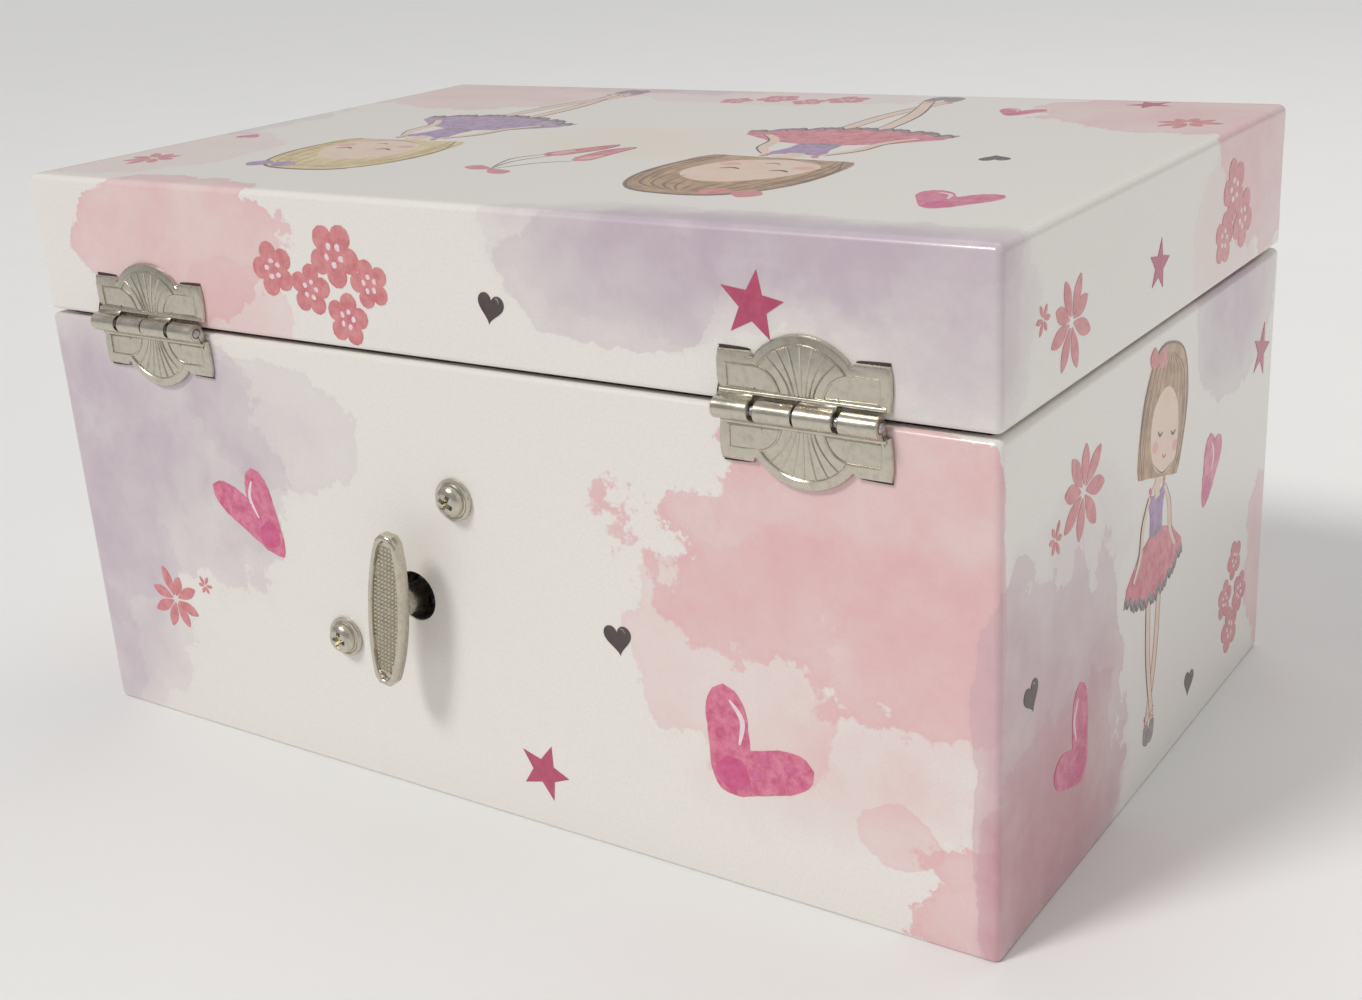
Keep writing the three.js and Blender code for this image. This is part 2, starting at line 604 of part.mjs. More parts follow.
// ---- dancer: spring, ferrule, figure and tutu, folded forward under the closed lid ----
function dancer() {
  const foot = PLATFORM_TOP + 1.5 + GAP;
  const bendZ = foot + 1.5;
  const endY = spindleY - SPRING_BEND_R;
  const lineZ = bendZ + SPRING_BEND_R;
  const at = (y, z) => new THREE.Vector3(0, y, z);
  const arc = [];
  for (let i = 0; i <= 8; i += 1) {
    const a = (i / 8) * (Math.PI / 2);
    arc.push(at(endY + SPRING_BEND_R * Math.cos(a), bendZ + SPRING_BEND_R * Math.sin(a)));
  }
  const route = [at(spindleY, foot), ...arc, at(endY - 1.5, lineZ)];
  add("dancer_spring", alongCurve(route, SPRING_R, 12, 14), looks.steel);

  // everything past the spring is drawn standing on its own axis, then laid along -Y
  const lay = (g, from) => g.rotateX(Math.PI / 2).translate(0, from, lineZ);
  const cupFrom = endY - 1.5 - GAP;
  const cupLong = 4;
  const ferrule = join(
    rod("z", 2.8, 0, cupLong, 0, 0, 20, 2.2),
    rod("z", 0.8, cupLong - 0.5, cupLong + 6, 0, 0, 10),
  );
  add("dancer_ferrule", lay(ferrule, cupFrom), looks.brass);

  const figureFrom = cupFrom - cupLong - GAP;
  // [radius, height] up from the foot disc
  const legLine = [
    [0, 0.01], [3.4, 0.01], [3.6, 1.1], [1.3, 1.6],
    [1.2, 4], [1.9, 11], [1.7, 15], [2.9, 25], [0, 25],
  ];
  const torsoLine = [
    [0, 24], [3.1, 24], [2.4, 28], [3.1, 32.5],
    [2.9, 35], [1.1, 36.2], [1, 38], [0, 38],
  ];
  const legs = lathe(legLine, 12);
  const torso = lathe(torsoLine, 12);
  const upright = [legs, torso].map((g) => g.rotateX(Math.PI / 2));
  const head = new THREE.SphereGeometry(3.3, 12, 8).scale(0.92, 0.95, 1.1).translate(0, 0, 40.4);
  const bun = new THREE.SphereGeometry(1.7, 8, 6).translate(0, 1.6, 43.4);
  const arms = [-1, 1].map((side) => {
    const reach = [
      new THREE.Vector3(side * 2.2, 0, 34.4),
      new THREE.Vector3(side * 5.6, 0, 37.4),
      new THREE.Vector3(side * 7, 0, 42),
      new THREE.Vector3(side * 5, 0, 47),
      new THREE.Vector3(side * 1, 0, FIGURE_HEIGHT - 0.8),
    ];
    return alongCurve(reach, ARM_R, 6, 8);
  });
  const socket = rod("z", 1.1, -1, 7, 0, 0, 10);
  const body = cut(join(...upright, head, bun, ...arms), socket);
  add("dancer_figure", lay(body, figureFrom), looks.figure);

  const skirtLine = [
    [3.5, 26.4], [3.5, 24.6], [TUTU_R, TUTU_AT - 2.6],
    [TUTU_R, TUTU_AT - 1], [8, TUTU_AT + 2.2], [3.5, 26.4],
  ];
  const skirt = lathe(skirtLine, 28).rotateX(Math.PI / 2);
  add("dancer_tutu", lay(skirt, figureFrom), looks.tulle);
}

base();
const lidInside = lid();
hinge("left", -HINGE_X);
hinge("right", HINGE_X);
windingKey();
movementScrew("upper_movement_screw", SCREWS.upper);
movementScrew("lower_movement_screw", SCREWS.lower);
movement();
dancerDrive();
stopWire(lidInside);
fittings();
dancer();

export default part;
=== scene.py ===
"""Ballerina jewellery box: the looks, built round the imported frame."""
import json
import math
import random

import bmesh
import bpy
from mathutils import Matrix, Quaternion, Vector


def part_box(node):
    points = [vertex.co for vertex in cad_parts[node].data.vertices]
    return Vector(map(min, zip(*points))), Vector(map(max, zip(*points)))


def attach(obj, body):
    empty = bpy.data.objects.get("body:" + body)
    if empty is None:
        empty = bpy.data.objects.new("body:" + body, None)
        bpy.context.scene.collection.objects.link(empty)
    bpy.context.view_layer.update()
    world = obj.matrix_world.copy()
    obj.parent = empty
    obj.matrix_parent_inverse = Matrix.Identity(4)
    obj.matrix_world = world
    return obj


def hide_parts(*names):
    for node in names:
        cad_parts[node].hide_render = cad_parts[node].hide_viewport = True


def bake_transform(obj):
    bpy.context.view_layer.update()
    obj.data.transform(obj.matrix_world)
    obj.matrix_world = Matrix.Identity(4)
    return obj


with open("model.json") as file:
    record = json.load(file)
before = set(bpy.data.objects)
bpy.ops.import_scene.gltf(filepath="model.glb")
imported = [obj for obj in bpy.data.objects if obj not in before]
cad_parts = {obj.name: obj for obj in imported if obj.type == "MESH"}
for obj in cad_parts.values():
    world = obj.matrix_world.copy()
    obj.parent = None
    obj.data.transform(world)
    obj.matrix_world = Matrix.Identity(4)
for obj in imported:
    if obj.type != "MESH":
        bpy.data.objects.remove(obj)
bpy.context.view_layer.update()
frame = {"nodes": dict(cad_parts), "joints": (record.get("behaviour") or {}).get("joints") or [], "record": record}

MM = 0.001
NODES = frame["nodes"]
BODY_OF = {node: body for body, nodes in frame["record"]["behaviour"]["bodies"].items() for node in nodes}
SLOT_OF = {row["node"]: row["material_slot"] for row in frame["record"]["subparts"]}
JOINTS = {joint["name"]: joint for joint in frame["joints"]}


def box_mm(node):
    low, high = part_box(node)
    return low / MM, high / MM


# the carcass, in millimetres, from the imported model
BASE_HIGH = box_mm("base_printed_paper")[1]
LID_LOW, LID_HIGH = box_mm("lid_printed_paper")
HALF_X = BASE_HIGH.x
HALF_Y = BASE_HIGH.y
BASE_TOP = BASE_HIGH.z
LID_FOOT = LID_LOW.z
LID_TOP = LID_HIGH.z
RIM = 3.4  # how far the printed paper turns in over the boards

# ---------------------------------------------------------------- camera
CAMERA_AT = Vector((-192.8, 273.2, 159.7))
CAMERA_LOOKS = Vector((0.5372, -0.7706, -0.3429))
CAMERA_ROLL = math.radians(-3.55)
LENS = 46.65


def camera():
    data = bpy.data.cameras.new("camera")
    data.lens = LENS
    data.sensor_width = 36
    data.clip_start = 0.01
    eye = bpy.data.objects.new("camera", data)
    eye.rotation_mode = "QUATERNION"
    eye.rotation_quaternion = CAMERA_LOOKS.to_track_quat("-Z", "Y") @ Quaternion((0, 0, 1), CAMERA_ROLL)
    eye.location = CAMERA_AT * MM
    bpy.context.scene.collection.objects.link(eye)
    bpy.context.scene.camera = eye


# ---------------------------------------------------------------- looks
def srgb(r, g, b):
    """A colour from its 0 to 255 screen values."""

    def linear(value):
        value /= 255
        return value / 12.92 if value <= 0.04045 else ((value + 0.055) / 1.055) ** 2.4

    return (linear(r), linear(g), linear(b), 1.0)


class Look:
    """One procedural material, and short names for the nodes it is made of."""

    def __init__(self, name, **sockets):
        self.material = bpy.data.materials.new(name)
        self.material.use_nodes = True
        self.tree = self.material.node_tree
        self.shader = self.tree.nodes["Principled BSDF"]
        for socket, value in sockets.items():
            self.set(socket.replace("_", " "), value)
        self.place = self.add("ShaderNodeTexCoord").outputs["Object"]

    def add(self, kind, **settings):
        node = self.tree.nodes.new(kind)
        for name, value in settings.items():
            setattr(node, name, value)
        return node

    def feed(self, socket, value):
        if isinstance(value, bpy.types.NodeSocket):
            self.tree.links.new(value, socket)
        else:
            socket.default_value = value

    def set(self, name, value):
        self.feed(self.shader.inputs[name], value)

    def noise(self, size, detail=3.0, rough=0.55, stretch=None, shift=(0, 0, 0)):
        """Noise from 0 to 1, with features of about `size` millimetres."""
        place = self.place
        if stretch or any(shift):
            mapping = self.add("ShaderNodeMapping")
            self.feed(mapping.inputs["Vector"], place)
            mapping.inputs["Scale"].default_value = stretch or (1, 1, 1)
            mapping.inputs["Location"].default_value = shift
            place = mapping.outputs["Vector"]
        node = self.add("ShaderNodeTexNoise")
        self.feed(node.inputs["Vector"], place)
        node.inputs["Scale"].default_value = 1 / (size * MM)
        node.inputs["Detail"].default_value = detail
        node.inputs["Roughness"].default_value = rough
        return node.outputs["Fac"]

    def math(self, operation, a, b=0.0, clamp=False):
        node = self.add("ShaderNodeMath", operation=operation, use_clamp=clamp)
        self.feed(node.inputs[0], a)
        self.feed(node.inputs[1], b)
        return node.outputs[0]

    def fade(self, value, start, end, low=0.0, high=1.0):
        node = self.add("ShaderNodeMapRange", interpolation_type="SMOOTHSTEP")
        for name, given in (
            ("Value", value), ("From Min", start), ("From Max", end), ("To Min", low), ("To Max", high),
        ):
            self.feed(node.inputs[name], given)
        return node.outputs["Result"]

    def mix(self, a, b, amount):
        node = self.add("ShaderNodeMix", data_type="RGBA")
        self.feed(node.inputs["Factor"], amount)
        self.feed(node.inputs["A"], a)
        self.feed(node.inputs["B"], b)
        return node.outputs["Result"]

    def bump(self, height, depth, strength=1.0):
        """Relief of `depth` millimetres."""
        node = self.add("ShaderNodeBump")
        self.feed(node.inputs["Height"], height)
        node.inputs["Distance"].default_value = depth * MM
        node.inputs["Strength"].default_value = strength
        self.set("Normal", node.outputs["Normal"])


PAPER = srgb(245, 241, 235)
PINK = srgb(236, 184, 187)
ROSE = srgb(206, 148, 156)
MAUVE = srgb(213, 176, 185)
LILAC = srgb(200, 181, 196)


def printed_look(name, washes):
    """Laminated printed paper: warm white with watercolour washes. Each wash is a blob in space, so
    it runs on round the edges: (centre, radii, colour, strength, how hard its edge is)."""
    look = Look(name, Roughness=0.34, Coat_Weight=0.55, Coat_Roughness=0.13, Specular_IOR_Level=0.5)
    broad = look.noise(34, 3)
    ragged = look.noise(9, 4, 0.62)
    fine = look.noise(1.6, 3, 0.7)
    warp = look.math("MULTIPLY", look.math("SUBTRACT", broad, 0.5), 1.15)
    warp = look.math("ADD", warp, look.math("MULTIPLY", look.math("SUBTRACT", ragged, 0.5), 0.62))
    warp = look.math("ADD", warp, look.math("MULTIPLY", look.math("SUBTRACT", fine, 0.5), 0.13))
    pool = look.fade(look.noise(15, 4, 0.6, shift=(0.3, 0.1, 0.7)), 0.3, 0.72, 0.62, 1.0)
    grain = look.fade(fine, 0.3, 0.75, 0.9, 1.0)
    body = look.math("MULTIPLY", pool, grain)
    speck = look.fade(look.noise(0.9, 2, 0.7), 0.66, 0.74)
    color = look.mix(PAPER, srgb(236, 231, 226), look.fade(look.noise(0.5, 2), 0.35, 0.75, 0.0, 0.55))
    for centre, radii, tint, strength, hard in washes:
        away = look.add("ShaderNodeVectorMath", operation="SUBTRACT")
        look.feed(away.inputs[0], look.place)
        away.inputs[1].default_value = Vector(centre) * MM
        scaled = look.add("ShaderNodeVectorMath", operation="DIVIDE")
        look.feed(scaled.inputs[0], away.outputs[0])
        scaled.inputs[1].default_value = Vector(radii) * MM
        length = look.add("ShaderNodeVectorMath", operation="LENGTH")
        look.feed(length.inputs[0], scaled.outputs[0])
        distance = look.math("ADD", length.outputs["Value"], warp)
        crisp = look.fade(distance, 1.0, 0.965)
        soft = look.fade(distance, 1.2, 0.35)
        rim = look.math("MULTIPLY", look.fade(distance, 0.86, 0.99), crisp)
        mask = look.math("ADD", look.math("MULTIPLY", crisp, hard), look.math("MULTIPLY", soft, 1 - hard))
        mask = look.math("MULTIPLY", mask, body)
        mask = look.math("ADD", mask, look.math("MULTIPLY", rim, 0.22 * hard))
        flecks = look.math(
            "SUBTRACT", 1.0, look.math("MULTIPLY", look.math("MULTIPLY", speck, rim), 0.8 * hard),
        )
        mask = look.math("MULTIPLY", mask, flecks)
        color = look.mix(color, tint, look.math("MULTIPLY", mask, strength, clamp=True))
    look.set("Base Color", color)
    look.bump(
        look.math("ADD", look.noise(0.6, 2), look.math("MULTIPLY", look.noise(7, 2), 1.5)), 0.012, 0.6,
    )
    return look.material


def paint_look(name, deep, pale, size=2.2, contrast=1.0):
    """Transparent watercolour: pigment pooled in the paper's grain."""
    look = Look(name, Roughness=0.34, Coat_Weight=0.55, Coat_Roughness=0.13)
    wash = look.fade(look.noise(size, 4, 0.65), 0.5 - 0.22 / contrast, 0.5 + 0.2 / contrast)
    tint = look.mix(deep, pale, wash)
    tint = look.mix(tint, pale, look.fade(look.noise(0.45, 2), 0.55, 0.8, 0.0, 0.35))
    look.set("Base Color", tint)
    look.bump(look.noise(0.6, 2), 0.008, 0.6)
    return look.material


def metal_look(name, bright, dull, rough=0.2, brushed=None):
    look = Look(name, Metallic=1.0)
    smudge = look.noise(4.5, 4, 0.6)
    marks = look.noise(0.25, 2, 0.6, stretch=brushed)
    tarnish = look.fade(look.noise(1.3, 4, 0.65), 0.42, 0.75)
    look.set("Base Color", look.mix(bright, dull, look.math("MULTIPLY", tarnish, 0.5)))
    spread = look.math(
        "ADD", look.fade(smudge, 0.3, 0.7, rough * 0.75, rough * 1.5), look.math("MULTIPLY", marks, 0.08),
    )
    look.set("Roughness", spread)
    look.bump(look.math("ADD", marks, look.math("MULTIPLY", tarnish, 0.6)), 0.006, 0.5)
    return look.material


def flock_look(name, tint, shade):
    """Short-pile velvet or flocked card."""
    look = Look(name, Roughness=0.92, Sheen_Weight=0.7, Sheen_Roughness=0.4)
    look.set("Sheen Tint", srgb(255, 236, 242))
    pile = look.noise(0.35, 2, 0.7)
    brushed = look.noise(13, 3)
    nap = look.mix(shade, tint, look.fade(brushed, 0.3, 0.7, 0.35, 1.0))
    look.set("Base Color", look.mix(nap, shade, look.fade(pile, 0.5, 0.8, 0.0, 0.5)))
    look.bump(look.math("ADD", pile, look.math("MULTIPLY", brushed, 0.4)), 0.12, 0.8)
    return look.material


def plain_look(name, tint, shade, rough, grain=0.8, depth=0.02, **sockets):
    """A matt or satin stuff with slight mottling: board, moulded plastic, plain paper."""
    look = Look(name, **sockets)
    fibres = look.noise(grain, 3, 0.65)
    patches = look.noise(grain * 12, 3)
    look.set("Base Color", look.mix(tint, shade, look.fade(look.math("ADD", fibres, patches), 0.75, 1.3)))
    look.set("Roughness", look.fade(patches, 0.3, 0.7, rough * 0.9, min(1.0, rough * 1.12)))
    look.bump(fibres, depth, 0.6)
    return look.material


# washes on the base and on the lid, in millimetres
BASE_WASHES = [
    ((-80, 66, 60), (48, 4, 30), PINK, 1.0, 0.75),
    ((-56, 66, 44), (24, 4, 24), PINK, 0.45, 0.85),
    ((-92, 66, 38), (30, 4, 26), PINK, 0.45, 0.1),
    ((-97, 66, 5), (20, 4, 17), PINK, 0.9, 0.9),
    ((-84, 66, 16), (9, 4, 7), PINK, 0.55, 0.9),
    ((-70, 66, 22), (30, 4, 14), PINK, 0.3, 0.1),
    ((90, 66, 58), (44, 16, 34), LILAC, 0.95, 0.3),
    ((97, 62, 28), (26, 24, 30), LILAC, 0.7, 0.25),
    ((40, 66, 68), (22, 6, 12), LILAC, 0.4, 0.6),
    ((-100, 50, 24), (5, 38, 36), MAUVE, 1.0, 0.5),
    ((-100, 46, 10), (5, 32, 26), ROSE, 1.0, 0.25),
    ((-100, 40, 50), (5, 24, 20), LILAC, 0.35, 0.15),
    ((-100, -38, 76), (6, 22, 15), LILAC, 0.9, 0.4),
    ((-60, -64, 24), (52, 12, 26), PINK, 0.85, 0.8),
    ((40, -64, 66), (62, 12, 20), LILAC, 0.8, 0.35),
    ((88, -64, 20), (34, 12, 26), PINK, 0.7, 0.8),
    ((100, 0, 52), (12, 40, 26), PINK, 0.7, 0.75),
    ((100, 40, 12), (12, 30, 18), LILAC, 0.6, 0.4),
]
LID_WASHES = [
    ((60, 66, 99), (26, 12, 15), PINK, 0.85, 0.85),
    ((48, 64, 88), (16, 12, 10), PINK, 0.55, 0.6),
    ((-58, 66, 108), (46, 12, 17), LILAC, 1.0, 0.12),
    ((-94, 64, 102), (30, 14, 19), LILAC, 0.8, 0.12),
    ((-36, 66, 100), (22, 8, 12), LILAC, 0.6, 0.6),
    ((-82, 62, 110), (40, 9, 6), LILAC, 0.6, 0.3),
    ((-92, -54, 107), (34, 30, 20), PINK, 0.9, 0.75),
    ((-98, -30, 92), (14, 18, 16), PINK, 0.35, 0.6),
    ((86, -52, 110), (48, 26, 14), PINK, 0.7, 0.7),
    ((10, -56, 110), (34, 14, 8), PINK, 0.4, 0.7),
    ((92, 36, 110), (22, 24, 12), PINK, 0.4, 0.75),
    ((0, 4, 112), (28, 22, 8), srgb(244, 226, 196), 0.5, 0.3),
    ((40, -64, 98), (46, 12, 16), LILAC, 0.75, 0.4),
    ((-58, -66, 92), (34, 12, 14), PINK, 0.8, 0.8),
    ((100, 0, 98), (14, 44, 14), LILAC, 0.6, 0.4),
]

LOOKS = {}


def make_looks():
    LOOKS.update(
        base_print=printed_look("base_print", BASE_WASHES),
        lid_print=printed_look("lid_print", LID_WASHES),
        magenta=paint_look("paint_magenta", srgb(206, 78, 124), srgb(232, 136, 166)),
        crimson=paint_look("paint_crimson", srgb(176, 54, 96), srgb(196, 80, 116), contrast=0.7),
        coral=paint_look("paint_coral", srgb(208, 112, 120), srgb(226, 148, 150)),
        umber=paint_look("paint_umber", srgb(52, 40, 40), srgb(80, 64, 62), contrast=0.7),
        glint=paint_look("paint_glint", srgb(250, 236, 240), srgb(240, 206, 218), contrast=0.6),
        skin=paint_look("paint_skin", srgb(236, 202, 180), srgb(244, 220, 202), size=5, contrast=0.6),
        blush=paint_look("paint_blush", srgb(232, 160, 156), srgb(240, 190, 182), contrast=0.6),
        blond=paint_look("paint_blond", srgb(214, 188, 128), srgb(238, 220, 172), size=3),
        brown=paint_look("paint_brown", srgb(158, 118, 82), srgb(204, 166, 122), size=3),
        strand=paint_look("paint_strand", srgb(104, 72, 56), srgb(140, 102, 80), size=3),
        wheat=paint_look("paint_wheat", srgb(176, 146, 88), srgb(204, 176, 118), size=3),
        skirt_pink=paint_look("paint_skirt_pink", srgb(206, 82, 108), srgb(236, 152, 164), size=2.4),
        skirt_lilac=paint_look("paint_skirt_lilac", srgb(150, 120, 160), srgb(196, 170, 200), size=2.4),
        lace=paint_look("paint_lace", srgb(128, 112, 122), srgb(168, 152, 160), size=1.2),
        line=paint_look("paint_line", srgb(92, 74, 72), srgb(120, 100, 98), size=1.2),
        nickel=metal_look("nickel", srgb(208, 202, 188), srgb(176, 169, 154), 0.2),
        steel=metal_look("steel", srgb(190, 190, 190), srgb(140, 140, 142), 0.24, (1, 1, 9)),
        brass=metal_look("brass", srgb(214, 178, 104), srgb(170, 132, 70), 0.25),
        zinc=metal_look("zinc", srgb(160, 162, 166), srgb(120, 122, 126), 0.45),
        board=plain_look("board", srgb(176, 164, 146), srgb(146, 134, 118), 0.9, 0.7),
        plain_paper=plain_look("plain_paper", srgb(246, 232, 234), srgb(238, 220, 224), 0.5, 0.5, 0.01),
        frame_paper=plain_look("frame_paper", srgb(240, 196, 208), srgb(233, 180, 196), 0.4, 0.5, 0.01),
        lining=flock_look("lining", srgb(240, 188, 204), srgb(216, 150, 172)),
        velvet=flock_look("velvet", srgb(232, 150, 176), srgb(200, 110, 142)),
        plastic=plain_look("plastic", srgb(240, 236, 226), srgb(228, 222, 210), 0.42, 0.6, 0.006),
        mirror=mirror_look(),
        doll_skin=plain_look("doll_skin", srgb(244, 208, 188), srgb(238, 196, 176), 0.42, 0.8, 0.004),
        doll_hair=hair_look(),
        doll_pink=plain_look("doll_pink", srgb(236, 120, 156), srgb(224, 100, 140), 0.32, 0.7, 0.006),
        doll_line=plain_look("doll_line", srgb(70, 48, 44), srgb(54, 36, 34), 0.5, 0.5, 0.002),
        doll_lips=plain_look("doll_lips", srgb(206, 74, 92), srgb(190, 60, 80), 0.35, 0.5, 0.002),
        tulle=tulle_look(),
        crimson_wash=paint_look("paint_crimson_wash", srgb(206, 66, 124), srgb(218, 96, 146), 2.0),
        rose_wash=paint_look("paint_rose_wash", srgb(212, 90, 142), srgb(224, 118, 162), 1.4),
        lilac_trim=paint_look("paint_lilac_trim", srgb(150, 112, 164), srgb(186, 156, 198), 2.0),
        # painted shade: the dark colour inside the key hole
        hollow=plain_look("painted_hole_shade", srgb(64, 54, 50), srgb(46, 38, 36), 0.8, 0.5, 0.02),
        # painted shade: the dark slots along the hinge shoulders
        shadow=plain_look("painted_slot_shade", srgb(86, 74, 70), srgb(58, 50, 48), 0.8, 0.5, 0.02),
    )


def mirror_look():
    look = Look("mirror", Metallic=1.0)
    haze = look.noise(22, 4)
    look.set("Base Color", look.mix(srgb(232, 236, 238), srgb(220, 226, 228), haze))
    look.set("Roughness", look.fade(haze, 0.35, 0.8, 0.015, 0.05))
    return look.material


def hair_look():
    look = Look("doll_hair", Roughness=0.38)
    strands = look.noise(0.5, 3, 0.6, stretch=(1, 0.15, 1))
    look.set("Base Color", look.mix(srgb(120, 74, 44), srgb(84, 48, 28), look.fade(strands, 0.35, 0.65)))
    look.bump(strands, 0.08, 0.8)
    return look.material


def tulle_look():
    look = Look("tulle", Roughness=0.75, Sheen_Weight=0.6, Sheen_Roughness=0.35)
    look.set("Subsurface Weight", 0.25)
    look.set("Subsurface Scale", 0.002)
    look.set("Subsurface Radius", (1.0, 0.6, 0.6))
    cells = look.add("ShaderNodeTexVoronoi", feature="DISTANCE_TO_EDGE")
    look.feed(cells.inputs["Vector"], look.place)
    cells.inputs["Scale"].default_value = 1 / (0.55 * MM)
    thread = look.fade(cells.outputs["Distance"], 0.04, 0.16, 1.0, 0.0)
    glitter = look.fade(look.noise(0.7, 2, 0.7), 0.68, 0.72)
    base = look.mix(srgb(246, 178, 200), srgb(252, 214, 226), look.math("MULTIPLY", thread, 0.8))
    look.set("Base Color", look.mix(base, srgb(255, 246, 250), look.math("MULTIPLY", glitter, 0.8)))
    look.bump(thread, 0.08, 0.8)
    return look.material


# ---------------------------------------------------------------- mesh helpers
def piece(name, vertices, faces, look, smooth=40):
    """A mesh object from millimetre coordinates. Edges sharper than `smooth` degrees stay crisp."""
    mesh = bpy.data.meshes.new(name)
    mesh.from_pydata([Vector(v) * MM for v in vertices], [], faces)
    return dress(link(name, mesh), look, smooth)


def bands(rows, ring, start=0):
    """The four-sided faces between rows of `ring` points each, closed round."""
    faces = []
    for i in range(rows - 1):
        for k in range(ring):
            a, b = start + i * ring + k, start + i * ring + (k + 1) % ring
            faces.append([a, b, b + ring, a + ring])
    return faces


def caps(rows, ring):
    """The first row's face and the last row's face."""
    return [list(range(ring))[::-1], [(rows - 1) * ring + k for k in range(ring)]]


def shell(rows, ring):
    """The faces of a hollow wall: an outer skin of `rows` rows, then an inner one, joined at the ends."""
    inner = rows * ring
    last = inner - ring
    faces = []
    for i in range(rows - 1):
        for k in range(ring):
            a, b = i * ring + k, i * ring + (k + 1) % ring
            faces.append([a, b, b + ring, a + ring])
            faces.append([inner + q for q in (a, a + ring, b + ring, b)])
    for k in range(ring):
        a, b = k, (k + 1) % ring
        faces.append([a, inner + a, inner + b, b])
        faces.append([last + a, last + b, inner + last + b, inner + last + a])
    return faces


def prism(count, start=0):
    """The faces of a solid between two outlines of `count` points."""
    far = start + count
    faces = [list(range(start, far))[::-1], list(range(far, far + count))]
    for i in range(count):
        j = (i + 1) % count
        faces.append([start + i, start + j, far + j, far + i])
    return faces


def link(name, mesh):
    made = bpy.data.objects.new(name, mesh)
    bpy.context.scene.collection.objects.link(made)
    return made


def copy_of(node, name):
    """A free copy of a CAD node, in the same place."""
    made = NODES[node].copy()
    made.data = NODES[node].data.copy()
    made.parent = None
    for key in list(made.keys()):
        del made[key]
    made.name = name
    bpy.context.scene.collection.objects.link(made)
    return made


def tidy_mesh(made, merge=1e-6):
    work = bmesh.new()
    work.from_mesh(made.data)
    bmesh.ops.remove_doubles(work, verts=work.verts, dist=merge)
    bmesh.ops.dissolve_degenerate(work, edges=work.edges, dist=merge)
    bmesh.ops.recalc_face_normals(work, faces=work.faces)
    work.to_mesh(made.data)
    work.free()


def dress(made, look, smooth=40):
    tidy_mesh(made)
    made.data.materials.clear()
    made.data.materials.append(LOOKS[look])
    shade(made, smooth)
    return made


def shade(made, smooth=40):
    for polygon in made.data.polygons:
        polygon.use_smooth = True
    made.data.set_sharp_from_angle(angle=math.radians(smooth))


def apply_modifiers(made):
    bpy.context.view_layer.update()
    graph = bpy.context.evaluated_depsgraph_get()
    final = bpy.data.meshes.new_from_object(made.evaluated_get(graph), depsgraph=graph)
    old = made.data
    made.modifiers.clear()
    made.data = final
    bpy.data.meshes.remove(old)
    return made


def bevel(made, width, segments=2, angle=30):
    change = made.modifiers.new("bevel", "BEVEL")
    change.width = width * MM
    change.segments = segments
    change.limit_method = "ANGLE"
    change.angle_limit = math.radians(angle)
    change.harden_normals = False
    return apply_modifiers(made)


def cut(made, tools):
    for tool in tools:
        change = made.modifiers.new("cut", "BOOLEAN")
        change.operation = "DIFFERENCE"
        change.solver = "EXACT"
        change.object = tool
    apply_modifiers(made)
    for tool in tools:
        bpy.data.objects.remove(tool)
    return made


def merge(name, pieces):
    """Several mesh objects as one, with each one's own materials."""
    looks, vertices, faces, slots = [], [], [], []
    for one in pieces:
        offset = len(vertices)
        vertices += [tuple(v.co) for v in one.data.vertices]
        mine = []
        for material in one.data.materials:
            if material not in looks:
                looks.append(material)
            mine.append(looks.index(material))
        for polygon in one.data.polygons:
            faces.append([offset + i for i in polygon.vertices])
            slots.append(mine[polygon.material_index])
    for one in pieces:
        bpy.data.objects.remove(one)
    mesh = bpy.data.meshes.new(name)
    mesh.from_pydata(vertices, [], faces)
    for material in looks:
        mesh.materials.append(material)
    mesh.polygons.foreach_set("material_index", slots)
    made = link(name, mesh)
    shade(made)
    return made


def settle(made, body, replaces=()):
    """The piece rides on a body and stands for CAD nodes, which it hides."""
    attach(made, body)
    if replaces:
        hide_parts(*replaces)
    return made


def soften(node, look, width, segments):
    """A CAD node's own shape with its edges rounded and a proper finish."""
    made = copy_of(node, f"{node}_piece")
    tidy_mesh(made, 1e-5)
    work = bmesh.new()
    work.from_mesh(made.data)
    bmesh.ops.dissolve_limit(work, angle_limit=math.radians(2), verts=work.verts, edges=work.edges)
    work.to_mesh(made.data)
    work.free()
    bevel(made, width, segments)
    dress(made, look)
    return settle(made, BODY_OF[node], [node])


def lathe(name, profile, look, at=(0, 0, 0), axis=(0, 0, 1), sides=32, smooth=40):
    """A solid of revolution from (radius, height) points, standing on `at` along `axis`."""
    turn = Vector((0, 0, 1)).rotation_difference(Vector(axis)).to_matrix()
    vertices = []
    for radius, height in profile:
        for k in range(sides):
            angle = 2 * math.pi * k / sides
            point = Vector((radius * math.cos(angle), radius * math.sin(angle), height))
            vertices.append(Vector(at) + turn @ point)
    return piece(name, vertices, bands(len(profile), sides), look, smooth)


def tube(name, points, radius, look, sides=8):
    """A round rod along a list of points. `radius` may be a list, one for each point."""
    points = [Vector(p) for p in points]
    radii = radius if isinstance(radius, (list, tuple)) else [radius] * len(points)
    vertices = []
    ahead = (points[1] - points[0]).normalized()
    side = ahead.orthogonal().normalized()
    for i, point in enumerate(points):
        before = points[max(i - 1, 0)]
        after = points[min(i + 1, len(points) - 1)]
        turned = (after - before).normalized()
        side = (ahead.rotation_difference(turned) @ side).normalized()
        ahead = turned
        other = ahead.cross(side)
        for k in range(sides):
            angle = 2 * math.pi * k / sides
            vertices.append(point + radii[i] * (math.cos(angle) * side + math.sin(angle) * other))
    return piece(name, vertices, bands(len(points), sides) + caps(len(points), sides), look, 60)


